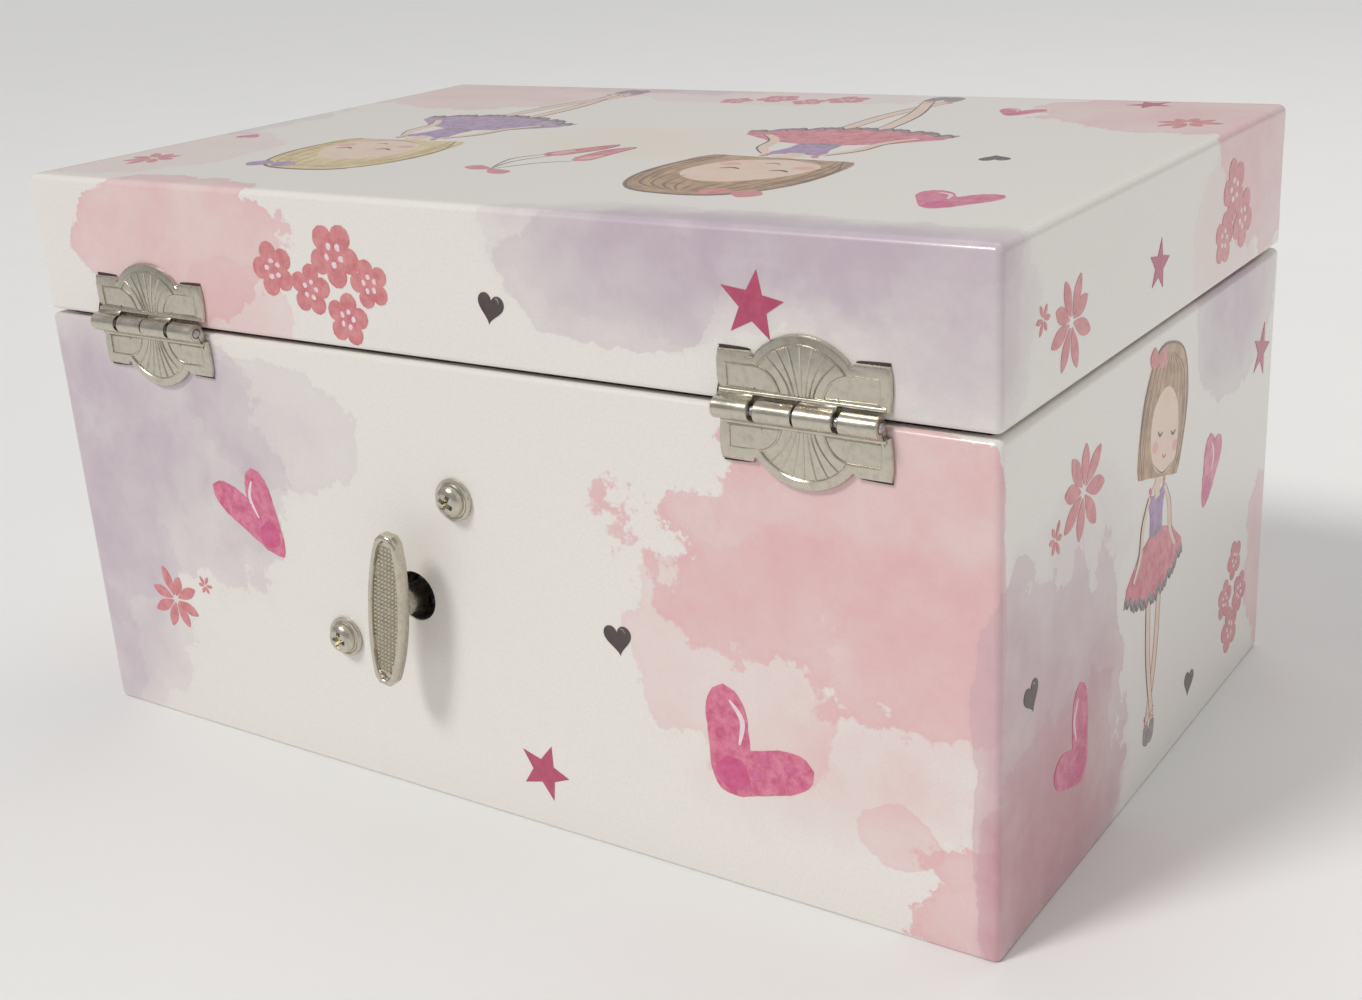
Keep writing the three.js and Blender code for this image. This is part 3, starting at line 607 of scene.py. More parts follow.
def bezier(a, b, c, steps=8):
    """Points on a quadratic curve from a to c that leaves towards b."""
    a, b, c = Vector(a), Vector(b), Vector(c)
    return [
        (1 - t) ** 2 * a + 2 * t * (1 - t) * b + t * t * c for t in (i / steps for i in range(steps + 1))
    ]


# ---------------------------------------------------------------- printed paper
TURN_IN = 9.0  # width of the folded-under margin that shows as a faint ridge
RIDGE = 0.05  # how far that margin stands out
SLOPE = 0.7  # width of the slope at its edge
LAP = 4.0  # how far the paper goes down inside, before the lining covers it
SHEET = 0.5  # thickness of the paper
CORNER_R = 1.3  # upright edges of the box
LID_STRIP = 3.0  # the top edge of the lid belongs to its side papers this far in
KEY_HOLE_R = 4.65
SCREW_HOLE_R = 1.8

SIDES = {
    # outward, along (to the right, seen from outside), half length, distance from the middle
    "back": (Vector((0, 1, 0)), Vector((-1, 0, 0)), HALF_X, HALF_Y),
    "front": (Vector((0, -1, 0)), Vector((1, 0, 0)), HALF_X, HALF_Y),
    "left": (Vector((-1, 0, 0)), Vector((0, -1, 0)), HALF_Y, HALF_X),
    "right": (Vector((1, 0, 0)), Vector((0, 1, 0)), HALF_Y, HALF_X),
}


def arc(cx, cz, radius, start, end, steps):
    angles = [math.radians(start + (end - start) * i / steps) for i in range(steps + 1)]
    return [(cx - radius * math.cos(a), cz + radius * math.sin(a)) for a in angles]


def wall_paper(name, side, profile, look):
    """Paper round one wall: a closed (inset, height) profile carried along the wall, mitred at both
    of its corners, which are rounded."""
    outward, along, half, distance = SIDES[side]
    stations = []
    steps = 5
    for end in (-1, 1):
        angles = [math.radians(45 * i / steps) for i in range(steps + 1)]
        stations += [("arc", end, a) for a in (angles[::-1] if end < 0 else angles)]
        if end < 0:
            inner = half - TURN_IN
            straight = [-inner, -inner + SLOPE] + [inner * (-0.9 + 0.15 * i) for i in range(13)] + [
                inner - SLOPE, inner,
            ]
            stations += [("line", s, 0) for s in straight]
    vertices = []
    for kind, value, angle in stations:
        for inset, height in profile:
            radius = max(CORNER_R - inset, 0)
            corner = half - max(CORNER_R, inset)
            if kind == "arc":
                s = value * (corner + radius * math.sin(angle))
                depth = distance - max(CORNER_R, inset) + radius * math.cos(angle)
            else:
                s = value
                margin = inset == 0 and abs(value) < half - TURN_IN - 0.3
                depth = distance - inset - (RIDGE if margin else 0)
            vertices.append(along * s + outward * depth + Vector((0, 0, height)))
    rows, ring = len(stations), len(profile)
    return piece(name, vertices, bands(rows, ring) + caps(rows, ring), look, 35)


def base_profile():
    """Up the outside, over the rounded rim, down the inside of the boards and back."""
    edge = 1.15
    outer = [(0.9, 0.0), (0.25, 0.2), (0, 0.9), (0, TURN_IN), (RIDGE, TURN_IN + SLOPE)]
    outer += [(RIDGE, BASE_TOP * f) for f in (0.3, 0.5, 0.7)]
    outer += [(RIDGE, BASE_TOP - TURN_IN - SLOPE), (0, BASE_TOP - TURN_IN)]
    outer += arc(edge, BASE_TOP - edge, edge, 0, 90, 5)
    outer += [(RIM - x, z) for x, z in arc(edge, BASE_TOP - edge, edge, 0, 90, 5)[::-1]]
    outer += [(RIM, BASE_TOP - LAP), (RIM - SHEET, BASE_TOP - LAP), (RIM - SHEET, BASE_TOP - 1.4)]
    outer += [(SHEET + 0.4, BASE_TOP - 1.4), (SHEET, BASE_TOP - 2), (SHEET, 0.6)]
    return outer


def lid_profile():
    edge = 1.0
    top = 1.5
    points = [(RIM, LID_FOOT + LAP), (RIM, LID_FOOT + edge)]
    points += [(RIM - x, 2 * LID_FOOT - z) for x, z in arc(edge, LID_FOOT - edge, edge, 0, 90, 4)[1:]]
    points += [(x, 2 * LID_FOOT - z) for x, z in arc(edge, LID_FOOT - edge, edge, 0, 90, 4)[::-1]]
    points += [(0, LID_FOOT + 6), (RIDGE, LID_FOOT + 6.6), (RIDGE, LID_TOP - 7), (0, LID_TOP - 6.4)]
    points += arc(top, LID_TOP - top, top, 0, 90, 6)
    points += [(LID_STRIP, LID_TOP), (LID_STRIP, LID_TOP - SHEET), (SHEET + 1.2, LID_TOP - SHEET)]
    points += [
        (SHEET, LID_TOP - SHEET - 1.2), (SHEET, LID_FOOT + 1.4), (RIM - SHEET, LID_FOOT + 1.4),
        (RIM - SHEET, LID_FOOT + LAP),
    ]
    return points


def slab(name, x, y, z0, z1, look, cells=(16, 10)):
    """A flat sheet with a grid on its faces."""
    vertices, faces = [], []
    nx, ny = cells
    for z in (z0, z1):
        for j in range(ny + 1):
            for i in range(nx + 1):
                vertices.append((-x + 2 * x * i / nx, -y + 2 * y * j / ny, z))
    layer = (nx + 1) * (ny + 1)
    for j in range(ny):
        for i in range(nx):
            a = j * (nx + 1) + i
            quad = [a, a + 1, a + nx + 2, a + nx + 1]
            faces.append(quad[::-1])
            faces.append([q + layer for q in quad])
    edge = list(range(nx)) + [j * (nx + 1) + nx for j in range(ny)]
    edge += [ny * (nx + 1) + i for i in range(nx, 0, -1)] + [j * (nx + 1) for j in range(ny, 0, -1)]
    for a, b in zip(edge, edge[1:] + edge[:1]):
        faces.append([a, b, b + layer, a + layer])
    return piece(name, vertices, faces, look, 35)


def wall_cutters():
    """Round tools for the key hole and the two screw holes."""
    key_low, key_high = box_mm("winding_arbor")
    middle = (key_low + key_high) / 2
    spots = [(middle.x, middle.z, KEY_HOLE_R, 48)]
    for node in ("upper_movement_screw", "lower_movement_screw"):
        low, high = box_mm(node)
        spots.append(((low.x + high.x) / 2, (low.z + high.z) / 2, SCREW_HOLE_R, 20))
    made = []
    for x, z, radius, sides in spots:
        profile = [(0, 0), (radius, 0), (radius, 12), (0, 12)]
        made.append(lathe("cutter", profile, "board", (x, HALF_Y - 8, z), (0, 1, 0), sides))
    return made


def printed_papers():
    for side in SIDES:
        wall = wall_paper(f"base_{side}_paper", side, base_profile(), "base_print")
        if side == "back":
            cut(wall, wall_cutters())
            dress(wall, "base_print", 35)
        settle(wall, "base", ["base_printed_paper"])
        wall = wall_paper(f"lid_{side}_paper", side, lid_profile(), "lid_print")
        settle(wall, "lid", ["lid_printed_paper"])
    top = slab(
        "lid_top_paper", HALF_X - LID_STRIP, HALF_Y - LID_STRIP, LID_TOP - SHEET, LID_TOP, "lid_print",
    )
    settle(top, "lid", ["lid_printed_paper"])


# ---------------------------------------------------------------- printed motifs
def smooth(points, closed=True, steps=5):
    """A smooth (Catmull-Rom) curve through all of the points, `steps` to a span."""
    points = [Vector(p) for p in points]
    count = len(points)
    found = []
    for i in range(count if closed else count - 1):
        if closed:
            a, b, c, d = (points[(i + k) % count] for k in (-1, 0, 1, 2))
        else:
            a, b, c, d = (points[min(max(i + k, 0), count - 1)] for k in (-1, 0, 1, 2))
        for s in range(steps):
            t = s / steps
            found.append(
                0.5 * (
                    2 * b + (c - a) * t + (
                        2 * a - 5 * b + 4 * c - d
                    ) * t * t + (3 * b - a - 3 * c + d) * t**3
                )
            )
    if not closed:
        found.append(points[-1])
    return found


FACES = {
    "back": lambda u, v, h: (u, HALF_Y + h, v),
    "front": lambda u, v, h: (u, -HALF_Y - h, v),
    "left": lambda u, v, h: (-HALF_X - h, u, v),
    "right": lambda u, v, h: (HALF_X + h, u, v),
    "top": lambda u, v, h: (u, v, LID_TOP + h),
}


INK = 0.02  # height of the lowest printed shape over the paper
INK_STEP = 0.0004  # each further shape over the one under it
INK_SUNK = 0.12  # how deep the shapes go into the paper


OUTFITS = {
    # hair: its strands, the skirt, the trimmings
    "brown": ("strand", "skirt_pink", "coral"),
    "blond": ("wheat", "skirt_lilac", "lilac_trim"),
}


def flip(points, side):
    """The same points, or with side -1 their mirror images across the middle."""
    return [(side * p[0], *p[1:]) for p in points]


def both(half):
    """A whole outline from its right half, which starts on the middle line."""
    return half + flip([p for p in half[::-1] if p[0]], -1)


def heart_outline(count):
    """A heart about 30 across, from its top notch."""
    ring = []
    for i in range(count):
        a = 2 * math.pi * i / count
        ring.append((
            15 * math.sin(a) ** 3,
            13 * math.cos(a) - 5 * math.cos(2 * a) - 2 * math.cos(3 * a) - math.cos(4 * a),
        ))
    return ring


class Print:
    """Ink on one face: thin closed shapes, each a hair higher than the one under it."""

    def __init__(self, name, face, body, seed):
        self.name, self.face, self.body = name, face, body
        self.shapes = []
        self.random = random.Random(seed)
        self.frame(0, 0)

    def frame(self, u, v, scale=1.0, turn=0.0, mirror=False):
        """Where the next shapes' own origin, size and direction are."""
        self.level = 0
        self.origin = Vector((u, v))
        self.scale = scale
        self.turn = Matrix.Rotation(math.radians(turn), 2)
        self.mirror = -1 if mirror else 1
        return self

    def shape(self, points, look, lift=1):
        self.level += lift
        placed = [
            self.origin + self.scale * (self.turn @ Vector((p[0] * self.mirror, p[1]))) for p in points
        ]
        self.shapes.append((placed, look, self.level))

    def blob(self, x, y, rx, ry, look, wobble=0.0, count=18, lift=1):
        ring = []
        for i in range(count):
            angle = 2 * math.pi * i / count
            away = 1 + wobble * (self.random.random() - 0.5)
            ring.append((x + rx * away * math.cos(angle), y + ry * away * math.sin(angle)))
        self.shape(ring, look, lift)

    def stroke(self, points, width, look, taper=0.35, lift=1, steps=5):
        """A brush line: widest in the middle, `taper` of that at its ends. Width is in local units."""
        line = smooth(points, False, steps)
        count = len(line)
        left, right = [], []
        for i, point in enumerate(line):
            ahead = line[min(i + 1, count - 1)] - line[max(i - 1, 0)]
            if ahead.length == 0:
                continue
            side = Vector((-ahead.y, ahead.x)).normalized()
            swell = taper + (1 - taper) * math.sin(math.pi * i / (count - 1))
            left.append(point + side * width / 2 * swell)
            right.append(point - side * width / 2 * swell)
        self.shape(left + right[::-1], look, lift)

    def make(self):
        place = FACES[self.face]
        vertices, faces, looks, slots = [], [], [], []
        for points, look, level in self.shapes:
            if look not in looks:
                looks.append(look)
            start, count = len(vertices), len(points)
            top = INK + INK_STEP * level
            vertices += [place(p.x, p.y, -INK_SUNK) for p in points]
            vertices += [place(p.x, p.y, top) for p in points]
            rows = prism(count, start)
            faces += rows
            slots += [looks.index(look)] * len(rows)
        mesh = bpy.data.meshes.new(self.name)
        mesh.from_pydata([Vector(v) * MM for v in vertices], [], faces)
        for look in looks:
            mesh.materials.append(LOOKS[look])
        mesh.polygons.foreach_set("material_index", slots)
        made = link(self.name, mesh)
        work = bmesh.new()
        work.from_mesh(mesh)
        bmesh.ops.recalc_face_normals(work, faces=work.faces)
        work.to_mesh(mesh)
        work.free()
        settle(made, self.body, [f"{self.body}_printed_paper"])

    # motifs
    def star(self, u, v, radius, turn=0):
        self.frame(u, v, radius, turn)
        ring = []
        for i in range(10):
            angle = math.pi / 2 + math.pi * i / 5
            away = (1 + 0.16 * (self.random.random() - 0.5)) * (0.42 if i % 2 else 1)
            ring.append((away * math.cos(angle), away * math.sin(angle)))
        self.shape(ring, "crimson")

    def heart(self, u, v, size, turn=0, look="umber"):
        self.frame(u, v, size / 26, turn)
        self.shape(heart_outline(36), look)
        self.stroke([(-9, 5), (-7, 9), (-4, 9)], 1.4, "glint" if look != "umber" else "lace")

    def lobe(self, tip, end, inward, width, look):
        """One dab of a brush heart, from its pointed tip to its round end."""
        tip, end = Vector(tip), Vector(end)
        axis = end - tip
        side = Vector((-axis.y, axis.x)).normalized() * inward
        outer, inner = [], []
        count = 20
        for i in range(count + 1):
            t = i / count
            half = width / 2 * min(1, 0.04 + (t / 0.24) ** 0.8)
            half *= math.sqrt(max(1 - (max(t - 0.66, 0) / 0.34) ** 2, 0.0004))
            half *= 1 + 0.05 * (self.random.random() - 0.5)
            middle = width * 0.3 * min(1, t / 0.25)
            inner.append(tip + axis * t + side * (middle + half))
            outer.append(tip + axis * t + side * (middle - half))
        self.shape(outer + inner[::-1], look)

    def brush_heart(self, tip, one, other, width):
        """Two overlapping brush dabs that meet in a corner."""
        self.frame(0, 0)
        tip, one, other = Vector(tip), Vector(one), Vector(other)
        cross = (one - tip).x * (other - tip).y - (one - tip).y * (other - tip).x
        inward = 1 if cross > 0 else -1
        self.lobe(tip, one, inward, width, "magenta")
        self.lobe(tip, other, -inward, width, "magenta")
        middle = tip + 0.25 * (one - tip) + 0.25 * (other - tip)
        self.blob(*(tip * 0.45 + middle * 0.55), width * 0.4, width * 0.4, "crimson_wash", 0.2)
        axis = one - tip
        side = Vector((-axis.y, axis.x)).normalized() * width * inward
        self.stroke(
            [
                tip + axis * 0.45 + side * 0.55, tip + axis * 0.68 + side * 0.68,
                tip + axis * 0.86 + side * 0.42,
            ],
            width * 0.12, "glint",
        )
        across = Vector((-(other - tip).y, (other - tip).x)).normalized() * width * -inward
        for t, w in ((0.4, 0.3), (0.55, 0.6), (0.78, 0.4)):
            spot = tip + (other - tip) * t + across * w
            self.blob(*spot, width * 0.17, width * 0.12, "rose_wash", 0.5, 12)

    def petal(self, x, y, angle, inner, outer, width, look, blunt=0.5):
        ring = []
        ahead = Vector((math.cos(angle), math.sin(angle)))
        side = Vector((-ahead.y, ahead.x))
        for i in range(9):
            t = i / 8
            half = width * math.sin(math.pi * min(max(t, 0.02), 0.98)) ** blunt * (0.75 + 0.5 * t)
            ring.append((t, half / 2))
        ring += [(t, -h) for t, h in ring[::-1]]
        self.shape(
            [Vector((x, y)) + ahead * (inner + (outer - inner) * t) + side * h for t, h in ring], look,
        )

    def daisy(self, u, v, radius, turn=0, petals=8):
        self.frame(u, v, radius, turn)
        for i in range(petals):
            angle = 2 * math.pi * i / petals + 0.15 * (self.random.random() - 0.5)
            self.petal(0, 0, angle, 0.13, 0.82 + 0.3 * self.random.random(), 0.36, "coral", 0.75)

    def blossom(self, u, v, radius, turn=0):
        self.frame(u, v, radius, turn)
        for i in range(5):
            angle = 2 * math.pi * i / 5
            self.petal(0, 0, angle, 0.1, 1, 0.78, "coral", 0.5)
        for i in range(5):
            angle = 2 * math.pi * i / 5 + 0.1
            self.blob(0.3 * math.cos(angle), 0.3 * math.sin(angle), 0.12, 0.1, "glint", 0.4, 8)
        self.blob(0, 0, 0.16, 0.16, "coral", 0.3, 10)

    def blossoms(self, places, radius):
        for i, (u, v) in enumerate(places):
            self.blossom(u, v, radius * (0.85 + 0.3 * self.random.random()), 25 * i)

    def slippers(self, u, v, size, turn):
        """Two ballet slippers on crossing ribbons."""
        self.frame(u, v, size, turn)
        self.stroke([(0, 0.9), (-0.1, 0.45), (-0.35, 0.1)], 0.03, "lace")
        self.stroke([(0, 0.9), (0.2, 0.5), (0.15, 0.1)], 0.03, "lace")
        self.stroke([(0, 0.9), (0.35, 0.45), (0.3, 0.1)], 0.03, "lace")
        for x, lean in ((-0.3, 0.12), (0.22, -0.1)):
            sole = smooth(
                [
                    (x, 0.12), (x + 0.13, 0.0), (x + 0.12 + lean, -0.45), (x + lean, -0.72),
                    (x - 0.1 + lean, -0.45), (x - 0.13, 0.0),
                ]
            )
            self.shape(sole, "skirt_pink")
            self.shape(
                smooth(
                    [(x, 0.05), (x + 0.07, -0.03), (x + 0.05, -0.22), (x - 0.05, -0.22), (x - 0.07, -0.03)]
                ),
                "blush",
            )
            self.stroke(
                [
                    (x - 0.13, 0.02), (x - 0.1 + lean, -0.45), (x + lean, -0.72), (x + 0.12 + lean, -0.45),
                    (x + 0.13, 0.02),
                ],
                0.02, "line", 0.7,
            )
        for side in (-1, 1):
            self.shape(
                smooth(
                    [
                        (0, 0.9), (side * 0.16, 1.02), (side * 0.34, 0.98), (side * 0.3, 0.84),
                        (side * 0.14, 0.84),
                    ]
                ),
                "coral",
            )

    # a small girl in a tutu, one tall; the random draws are in the order of these calls
    def legs(self, trim):
        for side, foot in ((-1, 0.022), (1, -0.02)):
            hip, knee = side * 0.036, side * 0.026 + foot * 0.2
            self.stroke([(hip, 0.42), (knee, 0.23), (foot, 0.05)], 0.03, "skin", 0.75)
            outer = [(hip + side * 0.014, 0.42), (knee + side * 0.015, 0.23), (foot + side * 0.01, 0.05)]
            self.stroke(outer, 0.004, "line", 0.6)
            inner = [(hip - side * 0.013, 0.4), (knee - side * 0.012, 0.23), (foot - side * 0.009, 0.06)]
            self.stroke(inner, 0.003, "line", 0.6)
            slipper = [
                (foot - 0.012, 0.055), (foot + 0.012, 0.055), (foot + 0.02 + side * 0.006, 0.012),
                (foot + side * 0.012, -0.002), (foot - 0.016 + side * 0.006, 0.012),
            ]
            self.shape(smooth(slipper), "lace")
            self.stroke(
                [(foot - 0.012, 0.06), (foot + 0.012, 0.075), (foot - 0.008, 0.09)], 0.004, trim, 0.6,
            )

    def skirt(self, look, trim):
        half, rise = 0.19, 0.06
        hem = []
        for i in range(13):
            x = -half + 2 * half * i / 12
            hem.append((x, 0.395 + rise * (abs(x) / half) ** 2 + (0.016 if i % 2 else -0.004)))
        waist = [(0.185, 0.475), (0.11, 0.53), (0.03, 0.557)]
        outline = flip(waist[::-1], -1) + hem + waist
        self.shape([(x * 1.04, y - 0.02 if y < 0.5 else y) for x, y in outline], "lace")
        self.shape(outline, look)
        for i in range(9):
            x = -0.15 + 0.3 * i / 8
            sway = 0.02 * (self.random.random() - 0.5)
            fold = [
                (x * 0.2, 0.55), (x * 0.75 + sway, 0.49), (x + sway, 0.42 + 0.05 * (abs(x) / half) ** 2),
            ]
            self.stroke(fold, 0.011, trim, 0.2)
        for i in range(12):
            x = -half + 2 * half * (i + 0.5) / 12
            low = 0.386 + rise * (abs(x) / half) ** 2
            self.stroke(
                [(x - 0.016, low + 0.012), (x, low - 0.01), (x + 0.016, low + 0.012)], 0.006, "line", 0.5,
            )
            self.blob(x, low + 0.004, 0.007, 0.006, "lace", 0.3, 8)

    def bodice(self, trim):
        front = [(0.052, 0.655), (0.04, 0.6), (0.034, 0.55)]
        self.shape(smooth(flip(front[::-1], -1) + [(0, 0.645)] + front), "lilac_trim")
        self.shape([(-0.016, 0.64), (0.016, 0.64), (0.014, 0.71), (-0.014, 0.71)], "skin")
        chest = [
            (-0.05, 0.656), (-0.02, 0.668), (0, 0.64), (0.02, 0.668), (0.05, 0.656), (0.02, 0.68),
            (-0.02, 0.68),
        ]
        self.shape(smooth(chest), "skin")
        for side in (-1, 1):
            arm = [(0.05, 0.655), (0.085, 0.6), (0.1, 0.53), (0.14, 0.475)]
            self.stroke(flip(arm, side), 0.02, "skin", 0.7)
            line = [(0.058, 0.655), (0.096, 0.6), (0.11, 0.53), (0.15, 0.475)]
            self.stroke(flip(line, side), 0.004, "line", 0.5)
            self.stroke(flip([(0.04, 0.66), (0.05, 0.675)], side), 0.012, trim, 0.8)
        self.stroke([(-0.034, 0.56), (0, 0.553), (0.034, 0.56)], 0.014, "lace", 0.8)

    def head(self, hair, strand, trim, gaze):
        """Hair, face, fringe and bow. `gaze` is how far the face looks to one side."""
        behind = [(0, 1.0), (0.1, 0.975), (0.15, 0.88), (0.153, 0.765), (0.134, 0.695), (0.07, 0.69)]
        self.shape(smooth(both(behind)), hair)
        face = both([(0, 0.905), (0.095, 0.87), (0.11, 0.79), (0.07, 0.72), (0, 0.696)])
        self.shape(smooth([(x + gaze, y) for x, y in face]), "skin")
        for side in (-1, 1):
            self.blob(side * 0.07 + gaze, 0.76, 0.02, 0.014, "blush", 0.1, 14)
            eye = [(side * 0.028, 0.795), (side * 0.046, 0.787), (side * 0.064, 0.797)]
            self.stroke([(x + gaze, y) for x, y in eye], 0.008, "umber", 0.4)
        self.stroke([(-0.014 + gaze, 0.742), (gaze, 0.735), (0.014 + gaze, 0.742)], 0.006, "crimson", 0.4)
        fringe = [
            (0.02, 0.985), (0.1, 0.95), (0.142, 0.86), (0.14, 0.74), (0.112, 0.7), (0.105, 0.8), (
                0.06, 0.875,
            ),
            (-0.01, 0.9), (-0.08, 0.86), (-0.108, 0.78), (-0.112, 0.7), (-0.14, 0.74), (-0.142, 0.86), (
                -0.1, 0.95,
            ),
        ]
        self.shape(smooth(fringe), hair)
        for i in range(9):
            x = -0.12 + 0.24 * i / 8
            lock = [
                (0.01 + x * 0.2, 0.98), (x * 0.85, 0.945 - 0.1 * abs(x)),
                (x * 1.1, 0.9 - 1.1 * abs(x) + 0.03),
            ]
            self.stroke(lock, 0.005, strand, 0.2)
        for side in (-1, 1):
            for out in (0.146, 0.13, 0.118):
                lock = [(out - 0.03, 0.93), (out, 0.85), (out, 0.76), (out - 0.014, 0.69)]
                self.stroke(flip(lock, side), 0.005, strand, 0.2)
        crown = [(0.09, 0.98), (0.143, 0.89), (0.15, 0.78), (0.112, 0.69)]
        self.stroke(flip(crown[::-1], -1) + [(0, 1.002)] + crown, 0.006, "line", 0.5)
        self.stroke([(-0.07 + gaze, 0.722), (gaze, 0.698), (0.07 + gaze, 0.722)], 0.004, "line", 0.3)
        for side in (-1, 1):
            bow = [(0, 0.96), (side * 0.03, 0.99), (side * 0.055, 0.965), (side * 0.03, 0.94)]
            self.shape(smooth([(0.09 + x, y) for x, y in bow]), trim)

    def dancer(self, u, v, height, hair, gaze, lean, turn=0, mirror=False):
        """A dancer standing on (u, v), her head leaning about her neck."""
        strand, skirt, trim = OUTFITS[hair]
        self.frame(u, v, height, turn, mirror)
        self.legs(trim)
        self.skirt(skirt, trim)
        self.bodice(trim)
        level = self.level
        neck = Vector((0, 0.69))
        shift = self.turn @ neck - Matrix.Rotation(math.radians(turn + lean), 2) @ neck
        self.frame(u + height * shift.x, v + height * shift.y, height, turn + lean, mirror)
        self.level = level
        self.head(hair, strand, trim, gaze)


def printed_motifs():
    back = Print("lid_back_motifs", "back", "lid", 11)
    back.blossoms([(36, 96.5), (27.5, 93.5), (21, 100), (13.5, 95.5), (19.5, 89)], 5.0)
    back.heart(-12.4, 94, 4.6, 12)
    back.star(-61.6, 98.6, 5.6, 8)
    back.make()

    back = Print("base_back_motifs", "back", "base", 12)
    back.brush_heart((43.8, 41.2), (47.6, 58.4), (61.5, 51.5), 6.6)
    back.daisy(77, 26.4, 6.4, 20)
    back.daisy(67.6, 31, 2.0, 0, 6)
    back.star(-14.5, 11, 5.6, 20)
    back.heart(-32.7, 40.3, 4.8, -6)
    back.brush_heart((-51.6, 17.6), (-50.4, 36.4), (-69.5, 22.6), 7.8)
    back.make()

    left = Print("lid_left_motifs", "left", "lid", 13)
    left.star(3.4, 94.1, 4.6, 10)
    left.daisy(39.8, 93.8, 7.2, 25)
    left.daisy(50, 96.6, 2.4, 0, 6)
    left.blossoms([(-34, 99.4), (-29.5, 91.6), (-39.5, 93.5)], 5)
    left.make()

    left = Print("base_left_motifs", "left", "base", 14)
    left.dancer(0.6, 7.6, 72.4, "brown", -0.025, 14)
    left.daisy(33.8, 66, 8.4, 10)
    left.daisy(44.5, 61.9, 2.8, 0, 6)
    left.brush_heart((-24.5, 43.5), (-25.5, 57), (-34.5, 53.5), 6.0)
    left.star(-55.8, 64.9, 5.2, 15)
    left.blossoms([(-45.6, 25.6), (-40.6, 19), (-49.6, 17.4), (-44.5, 11.4)], 4.6)
    left.heart(-20.7, 10.4, 4.4, 10)
    left.heart(52.9, 40.2, 4.6, -14)
    left.brush_heart((31.0, 16.4), (31.6, 34.0), (44.2, 20.4), 6.4)
    left.make()

    right = Print("lid_right_motifs", "right", "lid", 15)
    right.star(-30, 96, 4.8, 10)
    right.daisy(34, 95, 6.6, 25)
    right.blossoms([(-6, 98), (2, 94), (-1, 101)], 4)
    right.heart(52, 93, 4.4, -10)
    right.make()

    right = Print("base_right_motifs", "right", "base", 16)
    right.dancer(-4, 7, 70, "blond", 0.015, 10, mirror=True)
    right.brush_heart((32, 40), (32, 58), (45, 44), 6.4)
    right.star(-40, 62, 5.4, -10)
    right.daisy(-38, 22, 7, 0)
    right.blossoms([(44, 16), (50, 21), (40, 24)], 4.4)
    right.heart(25, 18, 4.4, 10)
    right.heart(-52, 44, 4.4, -12)
    right.make()

    front = Print("lid_front_motifs", "front", "lid", 17)
    front.blossoms([(-66, 96), (-58, 99), (-60, 91), (-73, 92)], 4.3)
    front.star(-20, 97, 5.4, 12)
    front.heart(26, 94, 4.8, -8)
    front.daisy(66, 96, 6.4, 10)
    front.make()

    front = Print("base_front_motifs", "front", "base", 18)
    front.dancer(-46, 7, 70, "brown", 0.015, -10)
    front.dancer(50, 7, 70, "blond", 0.015, 10, mirror=True)
    front.slippers(2, 42, 17, -14)
    front.brush_heart((-6, 14), (-6, 31), (8, 17), 6.6)
    front.star(26, 66, 5.4, -12)
    front.star(-82, 20, 5.4, 18)
    front.heart(-20, 62, 4.8, 10)
    front.daisy(84, 60, 6.6, 10)
    front.daisy(-80, 60, 6.4, 30)
    front.make()

    top = Print("lid_top_motifs", "top", "lid", 19)
    top.dancer(43, -60, 105, "blond", 0.02, 8, -5)
    top.dancer(-33, -61, 107, "brown", 0.015, -6, 3, True)
    top.slippers(4, 20, 18, -20)
    top.brush_heart((-80, 45), (-73, 33), (-88, 34), 6)
    top.heart(-72, 4, 4.6, 20)
    top.brush_heart((-55, -40), (-50, -48), (-60, -48), 4)
    top.star(-76, -58, 4.4, 0)
    top.blossoms([(-6, -50), (3, -53), (11, -49), (-13, -54)], 4.2)
    top.daisy(-90, -38, 6, 0)
    top.heart(90, 16, 4.6, 10, "magenta")
    top.daisy(88, 43, 6, 0)
    top.make()


# ---------------------------------------------------------------- hinges
HINGE_AXIS = Vector(JOINTS["lid_hinge"]["pos_m"]) / MM
KNUCKLES = ((0, 6.35, "upper"), (7.2, 6.45, "lower"), (13.85, 6.45, "upper"), (21.15, 6.35, "lower"))
LEAF_BACK = 0.06  # from the paper to the leaf, which is pressed into the board
LEAF_FACE = 0.82
ARCH_R = 10.6
ARCH_RISE = 1.1
SHOULDER = 8.5  # height of the leaf's square ends
LINE = 0.22  # half width of the pressed lines
PANEL_IN = 1.5  # from the leaf's end to its panel's line
PANEL_FOOT = 2.9
LINE_RISE = LEAF_FACE + 0.01


def leaf_outline(half, inset=0.0, foot=1.8):
    """The leaf seen from behind the box, x to one side and height above the hinge line."""
    radius = ARCH_R - inset
    shoulder = SHOULDER - inset
    foot_x = half - inset
    meet = math.asin((shoulder - ARCH_RISE) / radius)
    outline = [
        (foot_x, foot + inset * 0.5), (foot_x + 0.3, foot + 2.5), (foot_x + 0.3, shoulder - 1.6),
        (foot_x, shoulder),
    ]
    chord = radius * math.cos(meet)
    outline += [(chord + 1.1, shoulder), (chord + 0.75, shoulder - 0.6), (chord + 0.15, shoulder - 0.35)]
    steps = 22
    for i in range(steps + 1):
        angle = meet + (math.pi - 2 * meet) * i / steps
        outline.append((radius * math.cos(angle), ARCH_RISE + radius * math.sin(angle)))
    outline += [(-x, z) for x, z in outline[:7][::-1]]
    return outline


